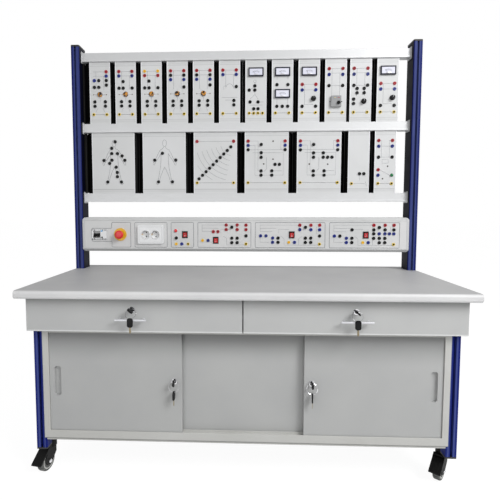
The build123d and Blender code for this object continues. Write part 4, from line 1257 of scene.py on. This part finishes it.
    def probe(self) -> list[Line]:
        """Give the lines of the earth probe, from the panel's middle."""
        lead = [[(25, -54), (33, -68)], [(33, -90), (38, -112)]]
        return [[(-20, -99), (30, -99)], [(5, -54), (5, -84)]] + lead

    def relay(self) -> list[Line]:
        """Give the lines of the protective relay, from the panel's middle."""
        return [
            [(-31, 98), (-18, 98), (-18, 22)],
            [(31, 98), (18, 98), (18, 22)],
            [(-24, 72), (24, 72)],
            [(-31, 22), (31, 22)],
            [(-14, 12), (14, 12), (14, -6), (-14, -6), (-14, 12)],
            [(-24, -36), (22, -61)],
        ]


@dataclass
class JackField:
    """Safety jacks of the modules and of the console."""

    sides: int = 16
    radius: float = 7.7
    earth_radius: float = 6.9
    bore: float = 3.0
    earth_bore: float = 4.5
    core_radius: float = 2.0
    earth_core: float = 4.3
    proud: float = 3.0
    orange_places: tuple[float, ...] = (-314.0, -190.0, 212.0, 551.0)
    orange_above: float = 1.6

    def build(self) -> None:
        """Dress the jacks of each colour, and the near-black painted shade in their bores."""
        finishes = {"black": Paint.BLACK, "blue": Paint.BLUE, "red": Paint.RED}
        for colour, paint in finishes.items():
            places = seats(f"jacks_{colour}")
            collars = stamped(f"{colour}_jack_collars", self.collar(self.radius, self.bore), places)
            dress(collars, paint, replaced=[f"jacks_{colour}"])
            # Near-black sleeves in the jacks' mouths: painted shade of the bores.
            dress(stamped(f"{colour}_jack_bores", self.core(self.core_radius), places), Paint.PIT)
        places = seats("jacks_yellow")
        collars = stamped("earth_jack_collars", self.collar(self.earth_radius, self.earth_bore), places)
        dress(collars, Paint.YELLOW, replaced=["jacks_yellow"])
        orange = [place for place in places if self.has_orange_core(place)]
        green = [place for place in places if place not in orange]
        dress(stamped("earth_jack_cores", self.core(self.earth_core), green), Paint.GREEN)
        dress(stamped("feed_jack_cores", self.core(self.earth_core), orange), Paint.ORANGE)

    def has_orange_core(self, place: Place) -> bool:
        """Tell whether an earth jack has an orange core."""
        listed = any(abs(place[0] - at * MM) < 2 * MM for at in self.orange_places)
        return (place[2] < CONSOLE_TOP and listed) or place[2] > self.orange_above

    def collar(self, radius: float, bore: float) -> Piece:
        """Turn one collar with its rim and mouth.

        Args:
            radius: its outer radius.
            bore: radius of its mouth.

        Returns:
            The collar.
        """
        steps = [(radius, 0), (radius, -self.proud * 0.7), (radius - 0.6, -self.proud)]
        steps += [(bore + 0.5, -self.proud), (bore, -self.proud + 1.2)]
        return turned("collar", steps, self.sides)

    def core(self, radius: float) -> Piece:
        """Turn the sleeve in the middle of one jack."""
        steps = [(radius, -0.8), (radius, -2.4), (radius - 0.8, -2.4), (radius - 1.0, -1.9)]
        return turned("core", steps, 10)


@dataclass
class Meters:
    """Moving-coil meters of the upper row."""

    rim: float = 5.0
    sunk: float = 2.0
    scale_radii: Point = (27.0, 31.0)

    def build(self) -> None:
        """Dress the frames, dials, scales and needles."""
        ease_node("panel_meters", 0.8, Paint.METER)
        dials = []
        scales: list[Line] = []
        needles: list[Line] = []
        hubs = []
        for low, high in islands("panel_meters"):
            x, _, z = (value / MM for value in seat(low, high))
            half = ((high.x - low.x) / MM / 2 - self.rim, (high.z - low.z) / MM / 2 - self.rim)
            face = low.y / MM + self.sunk
            dials.append(self.dial(x, z, half, face))
            foot = (x, z - half[1] - 12)
            radii = self.scale_radii
            scales += [arc(foot, radius, 58, 122, 12) for radius in radii]
            scales += [[polar(foot, radius, 62 + 7 * step) for radius in radii] for step in range(9)]
            needles.append([(foot[0] - 3, foot[1] + 13), (foot[0] - 13, foot[1] + 31)])
            hubs.append(block("hub", (x - 10, face - 1.2, z - half[1]), (x + 10, face, z - half[1] + 5), 0.5))
        depth = face - 0.45
        dress(joined("meter_dials", dials), Paint.DIAL)
        dress(inked("meter_scales", scales, depth, 0.5), Paint.DARK_INK)
        dress(inked("meter_needles", needles, depth - 0.4, 0.5), Paint.BLACK)
        dress(joined("meter_hub_covers", hubs), Paint.BEZEL)

    def dial(self, x: float, z: float, half: Point, face: float) -> Piece:
        """Make one dial plate with a raised rim round its edge.

        Args:
            x: X of its middle.
            z: height of its middle.
            half: half its width and half its height.
            face: Y of its back.

        Returns:
            The plate.
        """
        piece = block("dial", (x - half[0], face - 0.4, z - half[1]), (x + half[0], face, z + half[1]))
        with editing(piece) as mesh:
            pick(mesh, faces_front)
            bpy.ops.mesh.inset(thickness=1.2 * MM, depth=-0.2 * MM)
        return piece


@dataclass
class Lamps:
    """Amber lamps, the small round lamps and the light-emitting diodes."""

    large_over: float = 20.0
    medium_over: float = 12.0
    bend: float = 60.0

    def build(self) -> None:
        """Dress the lamps by their size."""
        large, medium, small = [], [], []
        for low, high in islands("indicator_lamps"):
            width = (high.x - low.x) / MM
            group = large if width > self.large_over else medium if width > self.medium_over else small
            group.append(seat(low, high))
        ring = turned("ring", [(13.6, 0), (13.6, -2.2), (13.1, -2.8), (12.5, -2.8), (12.3, -1)], 28)
        dress(stamped("amber_lamp_rings", ring, large), Paint.BEZEL, replaced=["indicator_lamps"])
        steps = [(12.4, -0.6), (12.3, -2.9), (10.8, -4.4), (7.6, -5.5), (3.4, -6.0), (1.2, -6.0)]
        dress(stamped("amber_lamp_domes", turned("dome", steps, 22, self.bend), large), Paint.AMBER)
        red = [place for place in medium if place[2] < CONSOLE_TOP]
        green = [place for place in medium if place[2] > CONSOLE_TOP]
        for name, places, paint, slot in (
            ("red_lamp", red, Paint.SIGNAL_RED, "red"), ("green_lamp", green, Paint.GREEN_LENS, "lamps"),
        ):
            collar = turned("collar", [(8.6, 0), (8.6, -1.6), (8.2, -2.2), (7.8, -2.2), (7.5, -1)], 20)
            dress(stamped(f"{name}_ring", collar, places), Paint.BEZEL)
            steps = [(7.7, -0.6), (7.7, -3.6), (6.4, -5.2), (3.6, -5.9), (1.2, -6.0)]
            lens = turned("lens", steps, 20, self.bend)
            dress(stamped(f"{name}_lens", lens, places), paint)
        steps = [(3.6, 0), (3.6, -0.8), (2.4, -0.9), (2.2, -1.6), (1.2, -2.0)]
        diode = turned("diode", steps, 12, self.bend)
        dress(stamped("diodes", diode, small), Paint.LED)


@dataclass
class Fittings:
    """Fuse holders and the frames of the rocker switches."""

    frame_over: float = 20.0

    def build(self) -> None:
        """Dress the fittings by their width."""
        boxes = islands("panel_fittings")
        frames = [box for box in boxes if box[1].x - box[0].x > self.frame_over * MM]
        fuses = [seat(*box) for box in boxes if box not in frames]
        steps = [(7.6, 0), (7.6, -2.0), (7.0, -2.6), (6.2, -2.6), (6.0, -7.2), (5.4, -8.0)]
        body = turned("fuse", steps + [(2.6, -8.0), (2.2, -7.2)], 20)
        dress(stamped("fuse_holders", body, fuses), Paint.BLACK, replaced=["panel_fittings"])
        # Near-black slot on each fuse cap: painted shade of its recess.
        slot = block("slot", (-4.6, -8.2, -0.6), (4.6, -7.6, 0.6), 0.15)
        dress(stamped("fuse_slots", slot, fuses), Paint.PIT)
        made = [self.rocker_frame(low / MM, high / MM) for low, high in frames]
        dress(joined("rocker_frames", made), Paint.BLACK)

    def rocker_frame(self, low: Vector, high: Vector) -> Piece:
        """Make one flanged frame with its pocket.

        Args:
            low: lowest corner of its solid, in millimetres.
            high: highest corner.

        Returns:
            The frame.
        """
        piece = block("rocker_frame", tuple(low), (high.x, low.y + 2.5, high.z))
        with editing(piece) as mesh:
            pick(mesh, faces_front)
            bpy.ops.mesh.inset(thickness=0.6 * MM, depth=0.3 * MM)
            bpy.ops.mesh.inset(thickness=3.2 * MM)
            bpy.ops.mesh.extrude_region_move(TRANSFORM_OT_translate={"value": (0, 10 * MM, 0)})
        smooth(piece)
        return piece


def parted(piece: Piece) -> list[Piece]:
    """Split a piece into its separate solids.

    Args:
        piece: the piece, which is used up.

    Returns:
        The solids, from left to right and then from the lowest up.
    """
    with editing(piece, action="SELECT"):
        bpy.ops.mesh.separate(type="LOOSE")
    solids = list(bpy.context.selected_objects)
    if piece not in solids:
        solids.append(piece)

    def place(solid: Piece) -> Point:
        """Give the lowest X and Z of a solid."""
        corners = [vertex.co for vertex in solid.data.vertices]
        return (round(min(corner.x for corner in corners), 4), round(min(corner.z for corner in corners), 4))

    return sorted(solids, key=place)


@dataclass
class Console:
    """Supply console with the lines printed on its front."""

    middle: float = 874.0
    face: float = 202.0
    top: float = 57.0
    bottom: float = -60.0
    corner: float = 5.0
    outline_width: float = 1.9
    switch_places: tuple[float, ...] = (-42.0, 225.0, 564.0)

    def build(self) -> None:
        """Dress the console."""
        ease_node("console_body", 1.2, Paint.CONSOLE)
        ease_node("console_end_caps", 1.5, Paint.CAP)
        ease_node("console_front", 0.3, Paint.FACE)
        fields = [self.stepped_field()]
        for low, high in ((-510, -357), (-338, -232), (-212, 36), (56, 378), (398, 717)):
            fields.append(rounded((low, self.bottom), (high, self.top), self.corner))
        lines = shifted(fields, 0, self.middle)
        outlines = inked("console_field_outlines", lines, self.face, self.outline_width)
        dress(outlines, Paint.OUTLINE)
        wires: list[Line] = []
        for place in self.switch_places:
            wires += shifted(self.wiring(place > 0), place, self.middle)
        dress(inked("console_circuits", wires, self.face, 1.1), Paint.INK)

    def stepped_field(self) -> Line:
        """Give the outline that steps in round the breaker."""
        return [
            (-616, self.top), (-533, self.top), (-530, self.top - 3),
            (-530, self.bottom + 3), (-533, self.bottom), (-616, self.bottom), (-620, self.bottom + 4),
            (-620, -30), (-623, -33), (-712, -33), (-715, -30), (-715, 26), (-712, 29), (-623, 29),
            (-620, 32), (-620, self.top - 4), (-616, self.top),
        ]

    def wiring(self, whole: bool) -> list[Line]:
        """Give the circuit printed beside one switch, from the switch.

        Args:
            whole: whether the field is one of the two long ones.

        Returns:
            The lines.
        """
        left = -146 if whole else -150
        lines = [
            [(left, 15), (left, 45), (31, 45)],
            [(left, 30), (-72, 30)],
            [(left, 15), (-90, 15)],
            [(-62, 8), (-62, 25), (-13, 25)],
            [(left, -15), (left, -35), (-104, -35)],
            [(-50, -8), (-42, -12), (-35, -20), (-35, -48), (121 if whole else 60, -48)],
        ]
        if whole:
            lines += [[(32, -20), (38, -12), (47, -8)], [(32, -20), (32, -48)], [(113, 6), (113, 38)]]
        return lines


@dataclass
class Outlet:
    """Double socket outlet with its wells, contacts and seam."""

    middle: Point = (-434.0, 874.0)
    face: float = 193.0
    floor: float = 210.0
    spacing: float = 46.0
    clip_reach: float = 17.0

    def build(self) -> None:
        """Dress the outlet."""
        ease_node("outlet", 1.2, Paint.WHITE)
        x, z = self.middle
        seam = [rounded((x - 54, z - 36), (x + 54, z + 36), 4)]
        dress(inked("outlet_seam", seam, self.face, 0.8), Paint.GREY)
        wells = [x + side * self.spacing / 2 for side in (-1, 1)]
        section = [(22.0, 0.4), (22.0, -1.0), (21.0, -1.7), (19.9, -1.7), (19.2, -0.6), (19.2, 0.4)]
        rim = turned("rim", section, 40, hollow=True)
        rims = stamped("outlet_well_rims", rim, [metres(at, self.face, z) for at in wells])
        dress(rims, Paint.WHITE)
        # Near-black discs on the wells' floors: painted shade of the contact holes.
        pins = turned("pin", [(3.1, 0.2), (3.1, -0.5), (2.5, -0.5), (2.2, 0.0)], 16)
        holes = [metres(at, self.floor, z + end * 9.5) for at in wells for end in (-1, 1)]
        dress(stamped("outlet_contact_holes", pins, holes), Paint.PIT)
        metals = (("brass", -1, Paint.BRASS, "yellow"), ("steel", 1, Paint.STEEL, "steel"))
        for name, side, paint, slot in metals:
            clips = []
            for at in wells:
                outer = at + side * 19
                inner = at + side * self.clip_reach
                low = (min(outer, inner), self.face + 2.5, z - 2.6)
                clips.append(block("clip", low, (max(outer, inner), self.floor, z + 2.6), 0.5))
            dress(joined(f"outlet_{name}_clips", clips), paint)


@dataclass
class Switchgear:
    """Breaker on the console and motor starter on its module."""

    middle: Point = (-679.0, 874.0)
    face: float = 199.0

    def build(self) -> None:
        """Dress the breaker and the starter with their small details."""
        breaker, starter = parted(softened("switchgear_bodies", 0.8))
        breaker.name = "breaker_body"
        starter.name = "starter_body"
        dress(breaker, Paint.WHITE, replaced=["switchgear_bodies"])
        dress(starter, Paint.GREY)
        ease_node("breaker_lever", 0.6, Paint.BLACK, "breaker_lever")
        ease_node("breaker_test_button", 0.3, Paint.BLACK, "breaker_test_button")
        self.breaker_details()
        self.starter_details()

    def breaker_details(self) -> None:
        """Add the seams, terminal mouths and flag of the breaker."""
        x, z = self.middle
        seams = [[(x + 5, z - 23.5), (x + 5, z + 23.5)], [(x - 30, z + 17), (x + 36, z + 17)]]
        seams += [[(x - 36, z - 19), (x + 36, z - 19)], rounded((x - 36, z - 24), (x + 36, z + 24), 1.0)]
        dress(inked("breaker_seams", seams, self.face, 1.0), Paint.DARK_INK)
        # Near-black discs: painted shade in the terminal mouths.
        screw = turned("screw", [(2.2, 0), (2.2, -0.3), (1.6, -0.3), (1.4, 0.2)], 14)
        columns, levels = (-34, -24, 16, 28), (-21.4, 20.4)
        places = [metres(x + at, self.face, z + level) for at in columns for level in levels]
        dress(stamped("breaker_terminal_mouths", screw, places), Paint.PIT)
        corner = (x + 16, self.face + 0.2, z + 18.5)
        flag = block("breaker_flag", (x + 7, self.face - 0.4, z + 13), corner, 0.2)
        dress(flag, Paint.BLUE_FLAG)

    def starter_details(self) -> None:
        """Add the seams, fixing screws and coloured flags of the starter."""
        low, high = islands("switchgear_bodies")[-1]
        x, panel, z = (value / MM for value in seat(low, high))
        front = low.y / MM
        seams = [rounded((x - 19, z - 21), (x + 19, z + 21), 3), [(x - 19, z + 10), (x + 19, z + 10)]]
        dress(inked("starter_seams", seams, front, 0.6), Paint.INK)
        flags = [
            block("flag", (x + at, front - 0.4, z + 14), (x + at + 3.5, front + 0.2, z + 17.5), 0.2)
            for at in (-8.0, 6.0, 11.0)
        ]
        flags[0].name = "starter_yellow_flag"
        dress(flags[0], Paint.YELLOW)
        dress(joined("starter_red_flags", flags[1:]), Paint.RED)
        screw = turned("screw", [(2.4, 0), (2.4, -0.9), (1.7, -1.3), (0.8, -1.0)], 14)
        places = [metres(x + side * 27, panel, z) for side in (-1, 1)]
        dress(stamped("starter_fixing_screws", screw, places), Paint.PIT)


@dataclass
class EmergencyStop:
    """Emergency stop with its yellow disc and red mushroom head."""

    middle: Point = (-579.0, 874.0)
    face: float = 202.0
    back: float = -17.3
    front: float = -31.3

    def build(self) -> None:
        """Dress the disc, stem and head."""
        ease_node("estop_base", 0.6, Paint.SIGNAL_YELLOW)
        ease_node("estop_stem", 0.4, Paint.BLACK, "estop_stem")
        x, z = self.middle
        place = metres(x, self.face, z)
        steps = [(13, self.back), (18.8, self.back - 0.4), (20, self.back - 1.8), (20, self.front + 5.6)]
        steps += [(19.1, self.front + 3), (16.8, self.front + 1.1), (12, self.front + 0.2), (4, self.front)]
        head = moved(turned("estop_mushroom", steps, 48, 50), place)
        dress(head, Paint.SIGNAL_RED, "estop_head", ["estop_head"])
        rim = [(30, -0.2), (30, -3.1), (29.2, -3.8), (27.8, -3.8), (27.0, -2.6), (27.0, -0.2)]
        ring = turned("estop_disc_rim", rim, 48, hollow=True)
        dress(moved(ring, place), Paint.SIGNAL_YELLOW)


@dataclass
class Rockers:
    """Red rockers of the four switches."""

    pivot: float = 206.0
    tilt: float = 8.0
    skin: float = -7.45

    def build(self) -> None:
        """Dress each rocker with its two raised marks."""
        for word in ("mains", "first", "second", "third"):
            body = f"rocker_{word}"
            low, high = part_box(body)
            x, z = (low.x + high.x) / 2, joint_of(body)["pos_m"][2]
            ease_node(body, 0.5, Paint.ROCKER, body)
            ring = arc((0, -5), 2.4, 0, 360, 12)
            marks = inked(f"{body}_marks", [[(0, 3.0), (0, 7.4)], ring], self.skin, 0.8)
            turn = Matrix.Rotation(math.radians(self.tilt), 3, "X")
            moved(marks, (x, self.pivot * MM, z), turn)
            dress(marks, Paint.EDGE, body)


@dataclass
class Knobs:
    """Rotary knobs of the upper modules and the starter's knob."""

    gap: float = 0.3

    def build(self) -> None:
        """Dress the knobs."""
        for word in ("left", "middle", "right"):
            body = f"module_knob_{word}"
            x, y, z = self.pivot(body)
            steps = [(12, -0.3), (12, -2.2), (11.4, -3.0), (9.9, -3.3)]
            steps += [(9.5, -12.8), (8.6, -13.9), (6.4, -14.1), (6.1, -13.6)]
            knob = moved(turned(f"{body}_grip", steps, 32), (x, y, z))
            dress(knob, Paint.BLACK, body, [body])
            line = block("pointer", (-0.5, -14.6, 1.5), (0.5, -13.5, 8.4), 0.15)
            line.name = f"{body}_pointer"
            dress(moved(line, (x, y, z)), Paint.EDGE, body)
            self.scale(word, x / MM, y / MM, z / MM)
        x, y, z = self.pivot("starter_knob")
        steps = [(7.9, -0.3), (7.9, -3.0), (7.0, -3.4), (6.4, -8.4), (5.4, -9.4)]
        grip = moved(turned("starter_grip", steps, 24), (x, y, z))
        dress(grip, Paint.BLACK, "starter_knob", ["starter_knob"])
        wing = turned("starter_wing", [(7.6, -3.2), (7.2, -9.4), (6.2, -9.9)], 3, 20)
        dress(moved(wing, (x, y, z)), Paint.BLACK, "starter_knob")

    def pivot(self, body: str) -> Place:
        """Give the place of a knob's axis on its face, in metres."""
        x, _, z = joint_of(body)["pos_m"]
        return (x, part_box(body)[1].y + self.gap * MM, z)

    def scale(self, word: str, x: float, y: float, z: float) -> None:
        """Print the ring of ticks round one knob.

        Args:
            word: which knob it is.
            x: X of its axis, in millimetres.
            y: Y of the panel.
            z: height of its axis.
        """
        ticks = [[polar((x, z), radius, 225 - 27 * step) for radius in (14, 16.5)] for step in range(11)]
        dress(inked(f"module_scale_{word}", ticks, y, 0.6), Paint.DARK_INK)


@dataclass
class Cabinet:
    """Drawer housing, drawers, cabinet and doors with their keys."""

    drawer_ring: Place = (18.4, -33.0, 0.0)
    door_ring: Place = (19.2, -14.0, 80.0)
    wire: float = 0.8

    def build(self) -> None:
        """Dress the storage."""
        ease_node("drawer_housing", 0.8, Paint.CABINET)
        ease_node("cabinet_shell", 0.8, Paint.CABINET)
        ease_node("door_frame", 0.8, Paint.FRAME)
        ease_node("centre_panel", 0.8, Paint.DOOR)
        ease_node("drawer_runners", 0.3, Paint.STEEL)
        for word in ("left", "right"):
            self.drawer(f"drawer_{word}")
            self.door(f"door_{word}")

    def drawer(self, body: str) -> None:
        """Dress one drawer with its handle, lock and keys.

        Args:
            body: the drawer.
        """
        ease_node(body, 1.6, Paint.DRAWER, body)
        solids = parted(softened(f"{body}_fittings", 0.4))
        *small, handle = sorted(solids, key=lambda solid: solid.dimensions.x)
        lock, spare = sorted(small, key=lambda solid: solid.dimensions.z)
        lock.name, handle.name = f"{body}_lock", f"{body}_handle"
        bpy.data.objects.remove(spare)
        dress(lock, Paint.CHROME, body, [f"{body}_fittings"])
        dress(handle, Paint.HANDLE, body)
        self.spare_key(body, self.lock_place(body, lock), self.drawer_ring)
        ease_node(f"{body}_key", 0.8, Paint.BLACK, f"{body}_key")

    def lock_place(self, body: str, lock: Piece) -> Place:
        """Give the middle of a lock, on the face that it is seated on.

        Args:
            body: the drawer or door.
            lock: the lock.

        Returns:
            Its place in metres.
        """
        corners = [corner.co for corner in lock.data.vertices]
        low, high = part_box(f"{body}_key")
        across = sum(corner.x for corner in corners) / len(corners)
        return (across, max(corner.y for corner in corners), (low.z + high.z) / 2)

    def spare_key(self, body: str, place: Place, hanging: Place) -> None:
        """Hang a spare key on a ring round the neck of the key in the lock.

        Args:
            body: the drawer or door.
            place: middle of the lock, on the face, in metres.
            hanging: radius of the ring, and in degrees how far it leans and how far the key is twisted.
        """
        radius, leaning, twist = hanging
        wire = [polar((radius, 0.0), self.wire, 45 * step) for step in range(8)]
        ring = turned(f"{body}_key_ring", wire, 40, hollow=True)
        lean = Matrix.Rotation(math.radians(leaning), 3, "X")
        top = Vector((0, -8.5, 2.9 + self.wire)) * MM
        reach = lean @ Vector((0, 0, -radius * MM))
        dress(moved(moved(ring, tuple(top + reach), lean), place), Paint.CHROME, body)
        hang = top + reach * 2
        bow = block("bow", (-10, -2.4, -29.5), (10, 2.0, 3.0))
        with editing(bow, "EDGE") as mesh:
            for edge in mesh.edges:
                edge.select = abs(edge.verts[0].co.y - edge.verts[1].co.y) > 2 * MM
            bpy.ops.mesh.bevel(offset=7 * MM, segments=4, affect="EDGES")
        with editing(bow) as mesh:
            pick(mesh, lambda face: abs(face.normal.y) > 0.9)
            bpy.ops.mesh.inset(thickness=1.0 * MM, depth=0.4 * MM, use_individual=True)
        smooth(bow)
        blade = block("blade", (-3, -1.2, -50), (3, 0.8, -29), 0.5)
        notch = block("notch", (2.6, -1.0, -46), (3.9, 0.6, -42), 0.2)
        turn = Matrix.Rotation(math.radians(twist), 3, "Z")
        spot = tuple(hang + Vector(place))
        dress(moved(joined(f"{body}_spare_bow", [bow]), spot, turn), Paint.BLACK, body)
        dress(moved(joined(f"{body}_spare_blade", [blade, notch]), spot, turn), Paint.BLADE, body)

    def door(self, body: str) -> None:
        """Dress one door with its lock and keys.

        Args:
            body: the door.
        """
        lock, spare, leaf = sorted(parted(softened(body, 0.6)), key=lambda solid: solid.dimensions.z)
        lock.name, leaf.name = f"{body}_lock", f"{body}_leaf"
        bpy.data.objects.remove(spare)
        dress(lock, Paint.CHROME, body)
        dress(leaf, Paint.DOOR, body, [body])
        self.spare_key(body, self.lock_place(body, lock), self.door_ring)
        ease_node(f"{body}_key", 0.8, Paint.BLACK, f"{body}_key")


@dataclass
class Casters:
    """Four swivel casters, the front ones with a brake pedal."""

    radius: float = 37.4
    half_width: float = 12.4
    nut_seat: float = 17.0

    def build(self) -> None:
        """Dress the casters."""
        ease_node("caster_plates", 0.4, Paint.HOOD)
        for joint in frame["joints"]:
            if joint["name"].startswith("wheel_spin"):
                self.caster(joint["child"].removeprefix("caster_wheel_"), joint)

    def caster(self, word: str, joint: dict) -> None:
        """Dress one caster.

        Args:
            word: which corner it is at.
            joint: the joint that its wheel spins on.
        """
        hood = f"caster_hood_{word}"
        ease_node(hood, 1.0, Paint.HOOD, hood)
        turn = Vector((0, -1, 0)).rotation_difference(Vector(joint["axis"])).to_matrix()
        place = joint["pos_m"]
        self.wheel(word, place, turn)
        nut = turned("nut", [(7.4, 0), (7.4, -4.0), (6.4, -5.0), (4.2, -5.3), (3.8, -6.2), (2.2, -6.6)], 20)
        nuts = doubled(f"caster_nuts_{word}", moved(nut, (0, -self.nut_seat * MM, 0)))
        dress(moved(nuts, place, turn), Paint.CHROME, hood)
        pedal = f"brake_pedal_{word}"
        if pedal in frame["nodes"]:
            ease_node(pedal, 0.8, Paint.HOOD, pedal)

    def wheel(self, word: str, place: Place, turn: Matrix) -> None:
        """Turn one wheel: tread, pale side rings and hub.

        Args:
            word: which corner it is at.
            place: middle of the wheel, in metres.
            turn: turn that brings its axis from -Y to the axle.
        """
        body = f"caster_wheel_{word}"
        half, rim = self.half_width, self.radius
        steps = [(29, half), (rim - 3, half), (rim - 0.8, half - 2.0), (rim, half - 4.5), (rim, 4.5 - half)]
        steps += [(rim - 0.8, 2.0 - half), (rim - 3, -half), (29, -half)]
        tread = moved(turned(f"{body}_tread", steps, 48), place, turn)
        dress(tread, Paint.TREAD, body, [body])
        disc = [(29.2, 0.0), (29.2, -half - 0.2), (25.0, -half - 0.2), (24.0, 3.0 - half), (12.0, 3.0 - half)]
        disc += [(10.0, -half - 0.1), (6.0, -half - 0.1)]
        sides = doubled(f"{body}_disc", turned("side", disc, 40))
        dress(moved(sides, place, turn), Paint.WHEEL_DISC, body)


def main() -> None:
    """Build the bench in order."""
    logging.basicConfig(level=logging.INFO, format="%(message)s")
    sections = (
        Studio(), Structure(), ModuleWall(), JackField(), Meters(), Lamps(), Fittings(), Console(), Outlet(),
        Switchgear(), EmergencyStop(), Rockers(), Knobs(), Cabinet(), Casters(),
    )
    for section in sections:
        section.build()
        log.info("%s is done", type(section).__name__)


if __name__ == "__main__":
    main()
